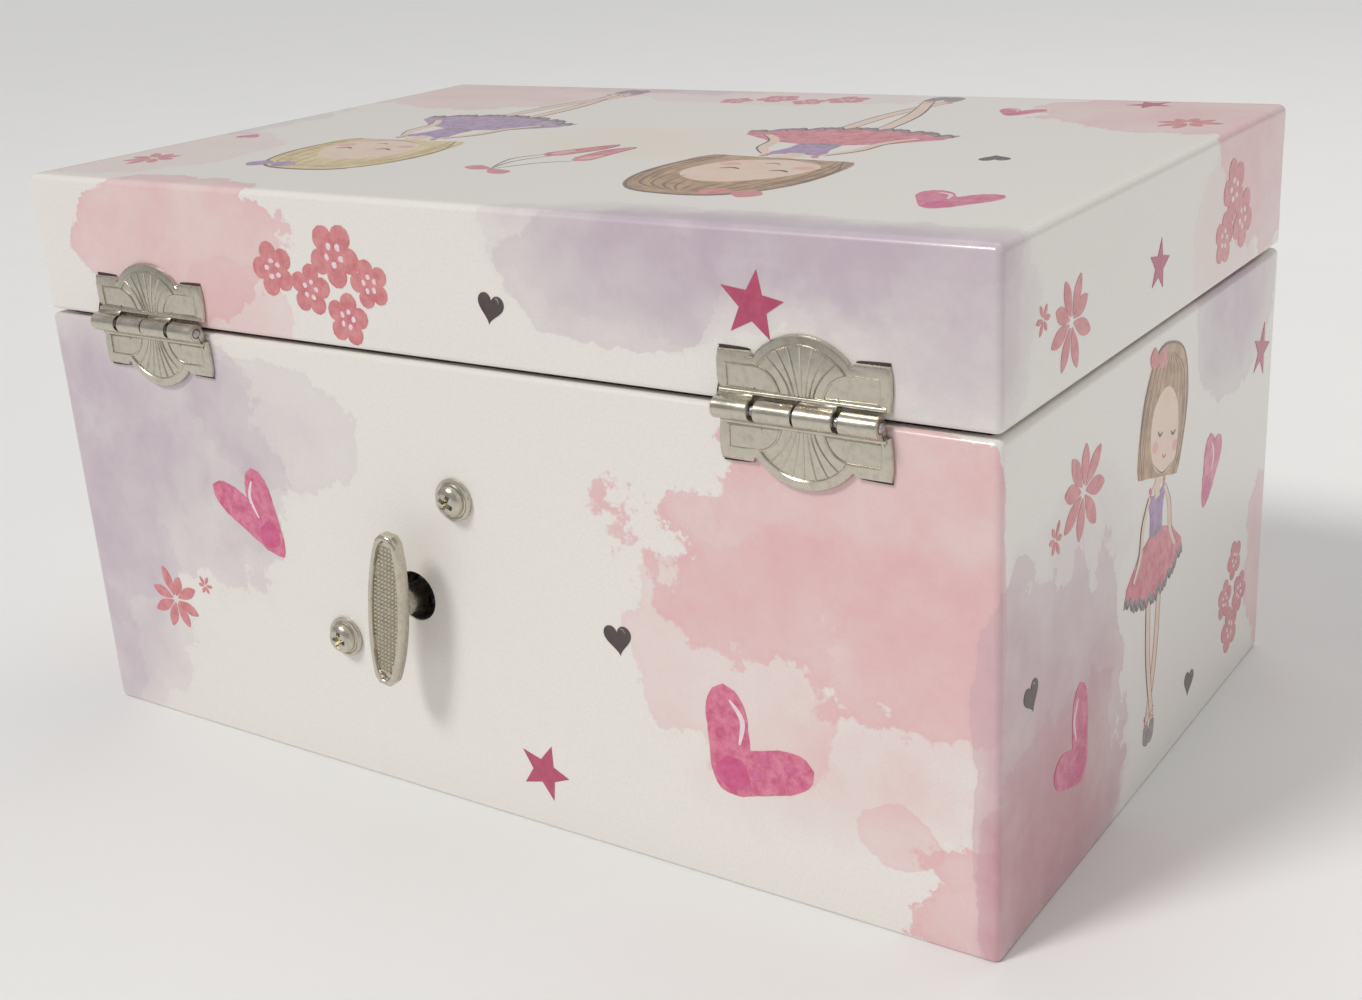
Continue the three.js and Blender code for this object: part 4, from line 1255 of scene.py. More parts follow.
def hinge_leaf(side, which):
    node = f"{side}_hinge_{which}_leaf"
    low, high = box_mm(node)
    middle = (low.x + high.x) / 2
    half = (high.x - low.x) / 2
    up = 1 if which == "upper" else -1
    wall = HALF_Y

    def at(x, z, out):
        return (middle + x, wall + out, HINGE_AXIS.z + up * z)

    rows = [(0.0, LEAF_BACK), (0.0, LEAF_FACE - 0.4), (0.14, LEAF_FACE - 0.12), (0.42, LEAF_FACE)]
    count = len(leaf_outline(half))
    vertices = []
    for inset, out in rows:
        vertices += [at(x, z, out) for x, z in leaf_outline(half, inset)]
    parts = [piece("leaf", vertices, bands(len(rows), count) + caps(len(rows), count), "nickel", 30)]
    # the pressed lines: an inner arch, a fan of rays, and a panel on each side
    inner = ARCH_R - 1.5
    start = math.asin((SHOULDER - 2.0 - ARCH_RISE) / inner)
    turns = [start + (math.pi - 2 * start) * i / 24 for i in range(25)]
    arch = [(inner * math.cos(a), ARCH_RISE + inner * math.sin(a)) for a in turns]
    parts.append(tube("arch", [at(x, z, LINE_RISE) for x, z in arch], LINE, "nickel", 6))
    for i in range(-3, 4):
        spread = i * 0.23
        foot = (i * 0.62, 2.5)
        bend = (i * 0.8, 5.4)
        tip = ((inner - 0.1) * math.sin(spread), ARCH_RISE + (inner - 0.1) * math.cos(spread))
        ray = bezier((*foot, 0), (*bend, 0), (*tip, 0), 8)
        widths = [LINE * (1.0 - 0.04 * j) for j in range(9)]
        parts.append(tube("ray", [at(p.x, p.y, LINE_RISE) for p in ray], widths, "nickel", 6))
    edge = inner * math.cos(start)
    for hand in (-1, 1):
        far, near, high_line = hand * (half - PANEL_IN), hand * (edge + 0.5), SHOULDER - 2.0
        panel = [(far, PANEL_FOOT), (far, high_line), (near, high_line)]
        curve = bezier((near, high_line, 0), (hand * 4.6, 6.2, 0), (hand * 3.6, 2.7, 0), 8)
        panel += [(p.x, p.y) for p in curve[1:]]
        parts.append(tube("panel", [at(x, z, LINE_RISE) for x, z in panel], LINE * 0.9, "nickel", 6))
        foot_line = [at(hand * 3.8, 2.75, LINE_RISE), at(far, PANEL_FOOT, LINE_RISE)]
        parts.append(tube("panel_foot", foot_line, LINE * 0.9, "nickel", 6))
    # the leaf swells out in a bright fold beside the barrel
    fold = [at(-half + 0.4 + (2 * half - 0.8) * i / 12, 2.28, LEAF_FACE - 0.02) for i in range(13)]
    parts.append(tube("fold", fold, 0.46, "nickel", 14))
    # knuckles rolled out of the leaf round the pin
    radius = high.y - HINGE_AXIS.y
    bore = 0.92
    roll_from = 100  # degrees round the pin where the roll leaves the leaf
    for offset, length, owner in KNUCKLES:
        if owner != which:
            continue
        x1 = middle + half - offset - 0.06
        x0 = x1 - length + 0.12
        outer = [
            (wall + LEAF_BACK, 3.6), (wall + LEAF_FACE - 0.1, 3.6), (wall + LEAF_FACE - 0.05, 2.75),
            (wall + LEAF_FACE + 0.1, 2.3),
        ]
        for i in range(25):
            angle = math.radians(roll_from - (roll_from + 180) * i / 24)
            outer.append((HINGE_AXIS.y + radius * math.cos(angle), radius * math.sin(angle)))
        outer.append((wall + LEAF_BACK + 0.02, 0.4))
        angles = [math.atan2(z, y - HINGE_AXIS.y) for y, z in outer]
        vertices = []
        ends = ((x0, 0.18), (x0 + 0.18, 0.0), (x1 - 0.18, 0.0), (x1, 0.18))
        for x, shrink in ends:
            for y, z in outer:
                dy, dz = y - HINGE_AXIS.y, z
                keep = 1 - shrink / max(math.hypot(dy, dz), 0.1)
                vertices.append((x, HINGE_AXIS.y + dy * keep, HINGE_AXIS.z + up * dz * keep))
        for x, _ in ends:
            for angle in angles:
                vertices.append(
                    (x, HINGE_AXIS.y + bore * math.cos(angle), HINGE_AXIS.z + up * bore * math.sin(angle))
                )
        parts.append(piece("knuckle", vertices, shell(len(ends), len(outer)), "nickel", 30))
    made = merge(f"{side}_{which}_leaf_plate", parts)
    settle(made, BODY_OF[node], [node])
    # the board is dented along each shoulder; the dent's shade is painted as a dark slot on the paper
    slots = []
    for hand in (-1, 1):
        x0, x1 = hand * 9.2, hand * (half - 0.3)
        z0, z1 = SHOULDER - 0.1, SHOULDER + 0.42
        outline = smooth(
            [(x0, z0), (x1, z0), (x1 + hand * 0.2, (z0 + z1) / 2), (x1, z1), (x0, z1 - 0.15)], True, 3,
        )
        n = len(outline)
        vertices = [at(p.x, p.y, -0.2) for p in outline] + [at(p.x, p.y, 0.035) for p in outline]
        slots.append(piece("slot", vertices, prism(n), "shadow"))
    slots = merge(f"{side}_{which}_leaf_slot_shades", slots)
    body = "lid" if which == "upper" else "base"
    settle(slots, body, [f"{body}_printed_paper"])


def hinge_pin(side):
    node = f"{side}_hinge_pin"
    low, high = box_mm(node)
    length = high.x - low.x
    r = 0.8
    profile = [
        (0.01, -0.1), (r - 0.3, -0.1), (r, 0.15), (r, length - 0.15), (r - 0.3, length + 0.1),
        (0.01, length + 0.1),
    ]
    rod = lathe(f"{side}_pin", profile, "steel", (low.x, HINGE_AXIS.y, HINGE_AXIS.z), (1, 0, 0), 20)
    close_ends(rod)
    settle(rod, BODY_OF[node], [node])


def close_ends(made):
    work = bmesh.new()
    work.from_mesh(made.data)
    bmesh.ops.remove_doubles(work, verts=work.verts, dist=0.03 * MM)
    bmesh.ops.holes_fill(work, edges=work.edges, sides=64)
    bmesh.ops.recalc_face_normals(work, faces=work.faces)
    work.to_mesh(made.data)
    work.free()
    shade(made)


# ---------------------------------------------------------------- winding key and screws
KEY_TILT = math.radians(8.6)
KEY_TIP = 0.5  # width of the bow at its ends over its width in the middle
KEY_TAPER = 2.3  # how late the bow narrows towards its ends
KEY_THICK = 2.5
PANEL_DEPTH = 0.8  # of the knurled recess
KNURL = 0.8  # from one stud of the knurling to the next


def key_outline(half_length, half_width, inset=0.0):
    """A long boat shape, blunt at both ends."""
    outline = []
    steps = 28
    end = half_length - inset
    tip = half_width * KEY_TIP
    for i in range(steps + 1):
        t = -1 + 2 * i / steps
        half = tip + (half_width - tip) * (1 - abs(t) ** KEY_TAPER)
        blunt = math.sqrt(max(1 - max(abs(t) - 0.9, 0) ** 2 / 0.1**2 * 0.6, 0))
        outline.append((half * blunt - inset * 0.94, t * end))
    return outline + [(-x, z) for x, z in outline[::-1]]


def winding_key():
    node = "winding_key"
    low, high = box_mm(node)
    middle = (low + high) / 2
    face, back = high.y, high.y - KEY_THICK
    half_length, half_width = 14.6, 3.9
    turn = Matrix.Rotation(-KEY_TILT, 3, "Y")

    def at(x, z, y):
        spot = turn @ Vector((x, 0, z))
        return Vector((middle.x, y, middle.z)) + spot

    rows = [
        (0.5, back), (0.14, back + 0.12), (0.0, back + 0.45), (0.0, face - 0.5), (0.08, face - 0.2), (
            0.3, face,
        ),
        (0.75, face), (0.85, face - 0.08), (1.0, face - PANEL_DEPTH),
    ]
    vertices = []
    count = len(key_outline(half_length, half_width))
    for inset, y in rows:
        vertices += [at(x, z, y) for x, z in key_outline(half_length, half_width, inset)]
    parts = [piece("bow", vertices, bands(len(rows), count) + caps(len(rows), count), "nickel", 24)]
    # knurling: small pyramids over the floor of the panel
    pitch = KNURL
    floor = face - PANEL_DEPTH
    vertices, faces = [], []
    rows_count = int((half_length - 2) / pitch)
    for j in range(-rows_count, rows_count + 1):
        z = j * pitch
        t = abs(z) / (half_length - 1.0)
        tip = half_width * KEY_TIP
        reach = tip + (half_width - tip) * (1 - t**KEY_TAPER) - 1.2
        for i in range(-6, 7):
            x = i * pitch
            if abs(x) > reach:
                continue
            start = len(vertices)
            for r, y in ((pitch * 0.46, floor - 0.1), (pitch * 0.2, floor + 0.32)):
                vertices += [at(x + a * r, z + b * r, y) for a, b in ((-1, -1), (1, -1), (1, 1), (-1, 1))]
            faces += [
                [start, start + 3, start + 2, start + 1], [start + 4, start + 5, start + 6, start + 7],
            ]
            faces += [
                [start + k, start + (k + 1) % 4, start + 4 + (k + 1) % 4, start + 4 + k] for k in range(4)
            ]
    parts.append(piece("knurl", vertices, faces, "nickel", 20))
    # socket behind the bow
    foot = HALF_Y - 2.4
    socket = [
        (1.72, foot), (2.3, foot), (2.5, foot + 0.3), (2.5, back - 1.4), (2.85, back - 1.0), (
            2.95, back + 0.2,
        ),
        (1.72, back + 0.2), (1.72, foot),
    ]
    # a dark ring round the key hole's wall, closed by a ring behind the paper: painted shade inside the hole
    shade_ring = [
        (3.3, HALF_Y - 3.3), (4.62, HALF_Y - 3.3), (4.62, HALF_Y - 0.3), (4.5, HALF_Y - 0.2), (
            4.3, HALF_Y - 0.4,
        ),
        (4.3, HALF_Y - 2.9), (3.3, HALF_Y - 2.9), (3.3, HALF_Y - 3.3),
    ]
    hole = lathe("key_hole_shade_ring", shade_ring, "hollow", (middle.x, 0, middle.z), (0, 1, 0), 48, 30)
    settle(hole, "base", ["base_printed_paper"])
    parts.append(lathe("socket", socket, "nickel", (middle.x, 0, middle.z), (0, 1, 0), 36, 30))
    made = merge("key_bow", parts)
    settle(made, BODY_OF[node], [node])

    node = "winding_arbor"
    low, high = box_mm(node)
    x, z = (low.x + high.x) / 2, (low.z + high.z) / 2
    profile = [(0.01, low.y), (1.2, low.y), (1.45, low.y + 0.3), (1.45, 49.6), (3.0, 49.6), (3.2, 49.9)]
    profile += [(3.2, 54.3), (3.0, 54.6), (1.45, 54.6)]
    y = 55.2
    while y < high.y - 0.8:
        profile += [(1.45, y), (1.3, y + 0.2), (1.45, y + 0.4)]
        y += 0.8
    profile += [(1.2, high.y), (0.01, high.y)]
    rod = lathe("arbor", profile, "steel", (x, 0, z), (0, 1, 0), 24)
    close_ends(rod)
    settle(rod, BODY_OF[node], [node])


def movement_screw(node, turn):
    low, high = box_mm(node)
    x, z = (low.x + high.x) / 2, (low.z + high.z) / 2
    seat = HALF_Y
    profile = [
        (0.01, low.y), (0.9, low.y), (1.3, low.y + 0.6), (1.3, seat - 0.05), (3.65, seat - 0.05), (
            3.8, seat + 0.12,
        ),
        (3.8, seat + 0.5), (3.65, seat + 0.78), (3.3, seat + 0.86), (3.0, seat + 0.72), (2.8, seat + 0.85),
        (2.75, seat + 1.4), (2.6, seat + 1.9), (2.2, seat + 2.3), (1.6, seat + 2.5), (0.8, seat + 2.58), (
            0.01, seat + 2.6,
        ),
    ]
    head = lathe(f"{node}_head", profile, "nickel", (x, 0, z), (0, 1, 0), 40, 30)
    close_ends(head)
    tools = []
    for i in range(2):
        angle = turn + math.pi / 2 * i
        along = Vector((math.cos(angle), 0, math.sin(angle)))
        across = Vector((-math.sin(angle), 0, math.cos(angle)))
        vertices = []
        for depth, reach, thick in ((1.2, 0.6, 0.28), (3.0, 2.0, 0.5)):
            for a, b in ((-1, -1), (1, -1), (1, 1), (-1, 1)):
                vertices.append(Vector((x, seat + depth, z)) + along * reach * a + across * thick * b)
        faces = [[0, 1, 2, 3], [4, 7, 6, 5]] + [[k, 4 + k, 4 + (k + 1) % 4, (k + 1) % 4] for k in range(4)]
        tools.append(piece("cross", vertices, faces, "nickel"))
    cut(head, tools)
    dress(head, "nickel", 28)
    settle(head, BODY_OF[node], [node])


# ---------------------------------------------------------------- inside of the box
def paint_node(node, look):
    """A CAD node that shows as it is, with a proper material on it."""
    mesh = NODES[node].data
    mesh.materials.clear()
    mesh.materials.append(LOOKS[look])


def revoxel(made, size):
    remesh = made.modifiers.new("remesh", "REMESH")
    remesh.mode = "VOXEL"
    remesh.voxel_size = size * MM


def stuffed(node, voxel, cap, room):
    """A cushion blown up by the cloth solver from the CAD node's shape. No point moves more than
    `cap` millimetres, and all of them stay within `room` of the node's box: (x, y, below, above)."""
    made = copy_of(node, f"{node}_cushion")
    revoxel(made, voxel)
    apply_modifiers(made)
    made.data.transform(made.matrix_world)
    made.matrix_world = Matrix.Identity(4)
    before = [v.co.copy() for v in made.data.vertices]
    scene = bpy.context.scene
    cloth = made.modifiers.new("cloth", "CLOTH")
    cloth.settings.quality = 6
    cloth.settings.mass = 0.2
    cloth.settings.tension_stiffness = 12
    cloth.settings.compression_stiffness = 8
    cloth.settings.bending_stiffness = 0.4
    cloth.settings.use_pressure = True
    cloth.settings.uniform_pressure_force = 4
    cloth.settings.effector_weights.gravity = 0
    cloth.point_cache.frame_start = 1
    cloth.point_cache.frame_end = 20
    for number in range(cloth.point_cache.frame_start, cloth.point_cache.frame_end + 1):
        scene.frame_set(number)
    apply_modifiers(made)
    scene.frame_set(1)
    low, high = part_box(node)
    least = low - Vector((room[0], room[1], room[2])) * MM
    most = high + Vector((room[0], room[1], room[3])) * MM
    for vertex, start in zip(made.data.vertices, before):
        moved = vertex.co - start
        if moved.length > cap * MM:
            moved = moved.normalized() * cap * MM
        for axis in range(3):
            vertex.co[axis] = min(max(start[axis] + moved[axis], least[axis]), most[axis])
    finer = made.modifiers.new("finer", "SUBSURF")
    finer.levels = finer.render_levels = 1
    apply_modifiers(made)
    dress(made, "velvet", 80)
    settle(made, BODY_OF[node], [node])


def rounded_loop(x0, x1, y0, y1, z, corner):
    """A closed line round a rectangle, with rounded corners."""
    points = []
    for cx, cy, start in (
        (x1 - corner, y1 - corner, 0), (x0 + corner, y1 - corner, 90),
        (x0 + corner, y0 + corner, 180), (x1 - corner, y0 + corner, 270),
    ):
        for i in range(7):
            angle = math.radians(start + 15 * i)
            points.append(Vector((cx + corner * math.cos(angle), cy + corner * math.sin(angle), z)))
    return points + points[:1]


def piping(node, radius, inset):
    """A sewn cord edging round the top of a pad."""
    low, high = box_mm(node)
    x0, x1, y0, y1 = low.x + inset, high.x - inset, low.y + inset, high.y - inset
    points = rounded_loop(x0, x1, y0, y1, low.z + 1.7, 2.2)
    line = []
    for a, b in zip(points, points[1:]):
        steps = max(1, int((b - a).length / 2.0))
        line += [a + (b - a) * k / steps for k in range(steps)]
    line.append(points[-1])
    radii = [radius * (1 + 0.08 * math.sin(2.1 * i)) for i in range(len(line))]
    cord = tube(f"{node}_piping", line, radii, "velvet", 8)
    settle(cord, BODY_OF[node], [node])


def roll_seams(node):
    """Gathered ends, each with a button, of one ring roll."""
    low, high = box_mm(node)
    y, z = (low.y + high.y) / 2, (low.z + high.z) / 2
    radius = (high.z - low.z) / 2
    parts = []
    for x, out in ((low.x, -1), (high.x, 1)):
        for k in range(14):
            angle = 2 * math.pi * k / 14
            start = Vector((x + out * 0.1, y + 0.9 * math.cos(angle), z + 0.9 * math.sin(angle)))
            reach, turned = radius - 1.0, angle + 0.12
            end = Vector((x - out * 0.5, y + reach * math.cos(turned), z + reach * math.sin(turned)))
            middle = (start + end) / 2 + Vector((out * 0.25, 0, 0))
            parts.append(
                tube(
                    "gather", bezier(start, middle, end, 5), [0.25, 0.42, 0.5, 0.46, 0.36, 0.2], "velvet",
                    6,
                )
            )
        profile = [(0.01, -0.35), (0.9, -0.3), (1.25, 0.0), (0.95, 0.3), (0.3, 0.42), (0.01, 0.44)]
        button = lathe("button", profile, "velvet", (x + out * 0.1, y, z), (out, 0, 0), 16)
        close_ends(button)
        parts.append(button)
    made = merge(f"{node}_gathers", parts)
    settle(made, BODY_OF[node], [node])


def mirror_trim():
    """A bead round the window of the mirror frame."""
    low, high = box_mm("mirror_frame")
    x, y, z = 70.4, 40.4, low.z
    bead = tube("mirror_bead", rounded_loop(-x, x, -y, y, z, 3), 0.45, "doll_pink", 8)
    settle(bead, "lid", ["mirror_frame"])
    hearts = []
    for hand_x in (-1, 1):
        for hand_y in (-1, 1):
            ring = [(hand_x * 75.7 + hx * 0.14, hand_y * 45.7 + hy * 0.14) for hx, hy in heart_outline(28)]
            vertices = [(px, py, z + 0.2) for px, py in ring] + [(px, py, z - 0.12) for px, py in ring]
            hearts.append(piece("corner_heart", vertices, prism(len(ring)), "magenta"))
    made = merge("mirror_corner_hearts", hearts)
    settle(made, "lid", ["mirror_frame"])


def linings():
    for node in ("base_wall_lining", "lid_wall_lining", "lid_lining_panel"):
        soften(node, "lining", 0.12, 1)
    for node in (
        "left_rear_divider", "right_rear_divider", "front_divider", "mechanism_cover", "ring_roll_shelf",
    ):
        soften(node, "lining", 0.55, 3)
    soften("mirror", "mirror", 0.7, 2)
    soften("mirror_frame", "frame_paper", 0.2, 2)
    soften("bottom_sheet", "plain_paper", 0.12, 1)
    mirror_trim()


def cushions():
    for node in ("left_rear_pad", "right_rear_pad"):
        stuffed(node, 1.7, 1.5, (0.15, 0.15, -0.02, 1.6))
        piping(node, 0.75, 0.5)
    stuffed("front_pad", 2.2, 1.5, (0.15, 0.15, -0.02, 1.6))
    piping("front_pad", 0.75, 0.5)
    for i in range(1, 5):
        stuffed(f"ring_roll_{i}", 1.9, 0.9, (0.1, 0.55, 0.2, 0.6))
        roll_seams(f"ring_roll_{i}")


def hidden_parts():
    """Boards and movement: the CAD nodes that no piece of this script replaces."""
    looks = ("zinc", "brass", "plastic", "steel", "board")
    done = (
        "winding_arbor", "left_hinge_pin", "right_hinge_pin", "dancer_spring", "dancer_ferrule",
        "dancer_spindle", "stop_wire",
    )
    for node, slot in SLOT_OF.items():
        if slot in looks and node not in done:
            paint_node(node, slot)


def stop_wire():
    low, high = box_mm("stop_wire")
    x, y = (low.x + high.x) / 2, (low.y + high.y) / 2
    profile = [(0.01, low.z), (0.45, low.z + 0.05), (0.6, low.z + 0.3)]
    z = low.z + 1
    while z < high.z - 5:
        profile += [(0.6, z), (0.585, z + 0.4)]
        z += 1.6
    profile += [
        (0.6, high.z - 4.2), (1.35, high.z - 4.0), (1.6, high.z - 3.6), (1.6, high.z - 2.4),
        (1.35, high.z - 1.0),
    ]
    profile += [(1.15, high.z - 0.35), (0.7, high.z - 0.05), (0.01, high.z)]
    wire = lathe("stop_wire_rod", profile, "steel", (x, y, 0), (0, 0, 1), 20)
    close_ends(wire)
    settle(wire, BODY_OF["stop_wire"], ["stop_wire"])


# ---------------------------------------------------------------- the dancer
FOOT_Y = box_mm("dancer_figure")[1].y  # the soles, when she lies under the closed lid
LINE_Z = JOINTS["dancer_spin"]["pos_m"][2] / MM
SPINDLE_LOW, SPINDLE_HIGH = box_mm("dancer_spindle")
FERRULE_LOW, FERRULE_HIGH = box_mm("dancer_ferrule")


def lay(p):
    """From the dancer standing on its foot disc, facing -Y, to how it lies under the closed lid."""
    return Vector((p[0], FOOT_Y - p[2], LINE_Z + p[1]))


def laid_tube(points, radius, look, sides=10):
    return tube("limb", [lay(p) for p in points], radius, look, sides)


def laid_ball(centre, radii, look, rows=12, sides=20):
    profile = [(math.sin(math.pi * i / rows), -math.cos(math.pi * i / rows)) for i in range(1, rows)]
    vertices = []
    for r, h in profile:
        for k in range(sides):
            a = 2 * math.pi * k / sides
            x, y = centre[0] + radii[0] * r * math.cos(a), centre[1] + radii[1] * r * math.sin(a)
            vertices.append(lay((x, y, centre[2] + radii[2] * h)))
    count = len(profile)
    return piece("ball", vertices, bands(count, sides) + caps(count, sides), look, 60)


def laid_turning(profile, look, flat=1.0, sides=28, lift=None):
    """A turned shape about the figure's own axis, flattened front to back. `lift` gives how much
    higher a point of a row is at an angle."""
    vertices = []
    for j, (r, h) in enumerate(profile):
        for k in range(sides):
            a = 2 * math.pi * k / sides
            raised = lift(j, a) if lift else 0
            vertices.append(lay((r * math.cos(a), r * math.sin(a) * flat, h + raised)))
    count = len(profile)
    return piece("turned", vertices, bands(count, sides) + caps(count, sides), look, 50)


def fuse(name, parts, voxel, look, smooth_steps=6):
    """Several closed parts grown together into one skin."""
    made = merge(name, parts)
    revoxel(made, voxel)
    relax = made.modifiers.new("relax", "SMOOTH")
    relax.factor = 0.5
    relax.iterations = smooth_steps
    apply_modifiers(made)
    return dress(made, look, 80)


HEAD = Vector((0, -0.1, 40.7))
HEAD_R = Vector((2.75, 2.8, 3.3))


def on_face(x, h):
    """How far forward the face is at this place, in the figure's own frame."""
    inside = 1 - ((x - HEAD.x) / HEAD_R.x) ** 2 - ((h - HEAD.z) / HEAD_R.z) ** 2
    return HEAD.y - HEAD_R.y * math.sqrt(max(inside, 0.02))


def face_line(points, radius, look):
    return laid_tube([(x, on_face(x, h) - 0.02, h) for x, h in points], radius, look, 6)


# the figure, right side only where it has two: points (across, back, up), and radii
LEG = [
    (1.2, 0, 25.5), (1.1, -0.1, 19), (0.85, -0.15, 13.6), (0.8, 0.15, 9.6), (0.5, 0.05, 4.6),
    (0.42, 0, 2.6),
]
LEG_R = [1.65, 1.4, 1.0, 1.1, 0.68, 0.66]
ARM = [
    (1.6, 0, 34.5), (2.7, -0.05, 34.9), (4.4, -0.4, 36.6), (5.6, -0.8, 39.6), (5.3, -1.2, 43.4),
    (3.6, -1.2, 46.6), (1.9, -1.0, 48.3), (0.75, -0.9, 49.1),
]
ARM_R = [0.85, 0.9, 0.74, 0.62, 0.58, 0.48, 0.46, 0.22]
STRAP = [(1.6, -1.75, 33.2), (1.9, -1.2, 34.8), (1.85, 0.1, 35.5), (1.7, 1.2, 34.9), (1.4, 1.8, 33.3)]
SLIPPER = [(0.52, 0.06, 4.5), (0.5, 0.04, 3.4), (0.42, -0.05, 2.2), (0.36, -0.1, 1.1)]
SLIPPER_R = [0.8, 0.86, 0.76, 0.5]
LOCK_R = [0.2, 0.3, 0.36, 0.4, 0.4, 0.36, 0.3, 0.2]
# its turned parts: (radius, height)
TORSO = [
    (0.5, 24), (2.4, 24.4), (2.5, 26), (1.75, 28.6), (2.25, 31.8), (2.5, 33.4), (2.35, 34.8), (1.3, 35.7),
    (0.85, 36.4), (0.78, 38), (0.5, 39),
]
BODICE = [
    (1.0, 24.2), (2.62, 24.3), (2.72, 26), (1.98, 28.6), (2.1, 29.4), (2.48, 31.8), (2.72, 33.1),
    (2.66, 33.9), (2.2, 34.0),
]
FOOT_DISC = [(0.8, 0.02), (3.0, 0.02), (3.45, 0.25), (3.5, 0.8), (3.2, 1.15), (1.5, 1.3), (0.9, 1.35)]


def neckline(row, angle):
    return 0.5 * math.cos(2 * angle + math.pi) - 0.2 if row >= 6 else 0


def turn_angles(count):
    return [2 * math.pi * k / count for k in range(count + 1)]


def figure_body():
    skin = []
    for side in (-1, 1):
        skin.append(laid_tube(flip(LEG, side), LEG_R, "doll_skin", 14))
        skin.append(laid_tube(flip(ARM, side), ARM_R, "doll_skin", 12))
    skin.append(laid_turning(TORSO, "doll_skin", 0.74, 24))
    skin.append(laid_ball(HEAD, HEAD_R, "doll_skin", 16, 28))
    skin.append(laid_ball((0, -1.5, 38.7), (1.35, 1.2, 1.15), "doll_skin", 10, 16))
    skin.append(laid_ball((0, on_face(0, 40.2) + 0.1, 40.15), (0.3, 0.42, 0.36), "doll_skin", 8, 12))
    return fuse("dancer_body", skin, 0.24, "doll_skin", 4)


def figure_costume():
    parts = [laid_turning(BODICE, "doll_pink", 0.76, 36, neckline)]
    for side in (-1, 1):
        parts.append(laid_tube(flip(STRAP, side), 0.2, "doll_pink", 8))
        parts.append(laid_tube(flip(SLIPPER, side), SLIPPER_R, "doll_pink", 14))
        for h in (4.9, 5.7, 6.5):
            loop = [
                (side * 0.55 + 0.86 * math.cos(a), 0.08 + 0.86 * math.sin(a), h + 0.35 * math.sin(2 * a))
                for a in turn_angles(16)
            ]
            parts.append(laid_tube(loop, 0.11, "doll_pink", 6))
    parts.append(laid_turning(FOOT_DISC, "doll_pink", 1.0, 36))
    for k in range(9):
        a = math.pi * (k + 0.5) / 9 + math.pi
        bead = (2.5 * math.cos(a), 1.9 * math.sin(a), 33.3 - 0.35 * math.sin(a) ** 2)
        parts.append(laid_ball(bead, (0.2, 0.2, 0.2), "glint", 6, 8))
    return merge("dancer_costume", parts)


def figure_hair():
    hair = [laid_ball((0, 0.42, 41.35), (2.98, 2.95, 3.15), "doll_hair", 14, 26)]
    for k in range(17):
        spread = -1.25 + 2.5 * k / 16
        start = (
            2.7 * math.sin(spread), -1.35 - 0.25 * math.cos(spread), 42.0 + 1.5 * math.cos(spread * 1.15),
        )
        middle = (2.6 * math.sin(spread), 0.6, 43.6 + 0.95 * math.cos(spread))
        end = (0.7 * math.sin(spread), 2.1, 44.2 + 0.3 * math.cos(spread))
        hair.append(laid_tube([tuple(p) for p in bezier(start, middle, end, 7)], LOCK_R, "doll_hair", 7))
    hair.append(laid_ball((0, 2.35, 44.5), (1.75, 1.5, 1.6), "doll_hair", 10, 18))
    coil = []
    for i in range(46):
        a = 2 * math.pi * i / 14
        r = 1.6 * (1 - i / 60)
        coil.append((r * math.cos(a), 2.2 + 1.3 * i / 46, 44.5 + r * math.sin(a)))
    hair.append(laid_tube(coil, 0.33, "doll_hair", 7))
    band = [
        (1.72 * math.cos(a), 1.75 + 0.25 * math.sin(a), 44.15 + 1.35 * math.sin(a)) for a in turn_angles(24)
    ]
    hair.append(laid_tube(band, 0.26, "doll_pink", 8))
    return merge("dancer_hair", hair)


def figure_face():
    """Closed lids with lashes, brows, cheeks and lips."""
    marks = []
    for side in (-1, 1):
        x = side * 1.02
        lid = [(x - 0.46, 40.72), (x - 0.24, 40.52), (x, 40.46), (x + 0.24, 40.52), (x + 0.46, 40.72)]
        marks.append(face_line(lid, 0.085, "doll_line"))
        for k in (-1, 0, 1):
            marks.append(
                face_line([(x + 0.22 * k, 40.5), (x + 0.32 * k + side * 0.06, 40.24)], 0.045, "doll_line")
            )
        marks.append(face_line([(x - 0.42, 41.5), (x, 41.68), (x + 0.42, 41.52)], 0.06, "doll_hair"))
        cheek = (side * 1.5, on_face(side * 1.5, 39.75) + 0.06, 39.75)
        marks.append(laid_ball(cheek, (0.42, 0.12, 0.34), "blush", 8, 14))
    upper = [(-0.42, 38.98), (-0.18, 38.88), (0, 38.92), (0.18, 38.88), (0.42, 38.98)]
    marks.append(face_line(upper, 0.12, "doll_lips"))
    marks.append(face_line([(-0.26, 38.82), (0, 38.74), (0.26, 38.82)], 0.13, "doll_lips"))
    return merge("dancer_face", marks)


def figure():
    body, costume, hair, face = figure_body(), figure_costume(), figure_hair(), figure_face()
    for made in (body, costume, hair, face):
        settle(made, "dancer", ["dancer_figure"])
    return costume


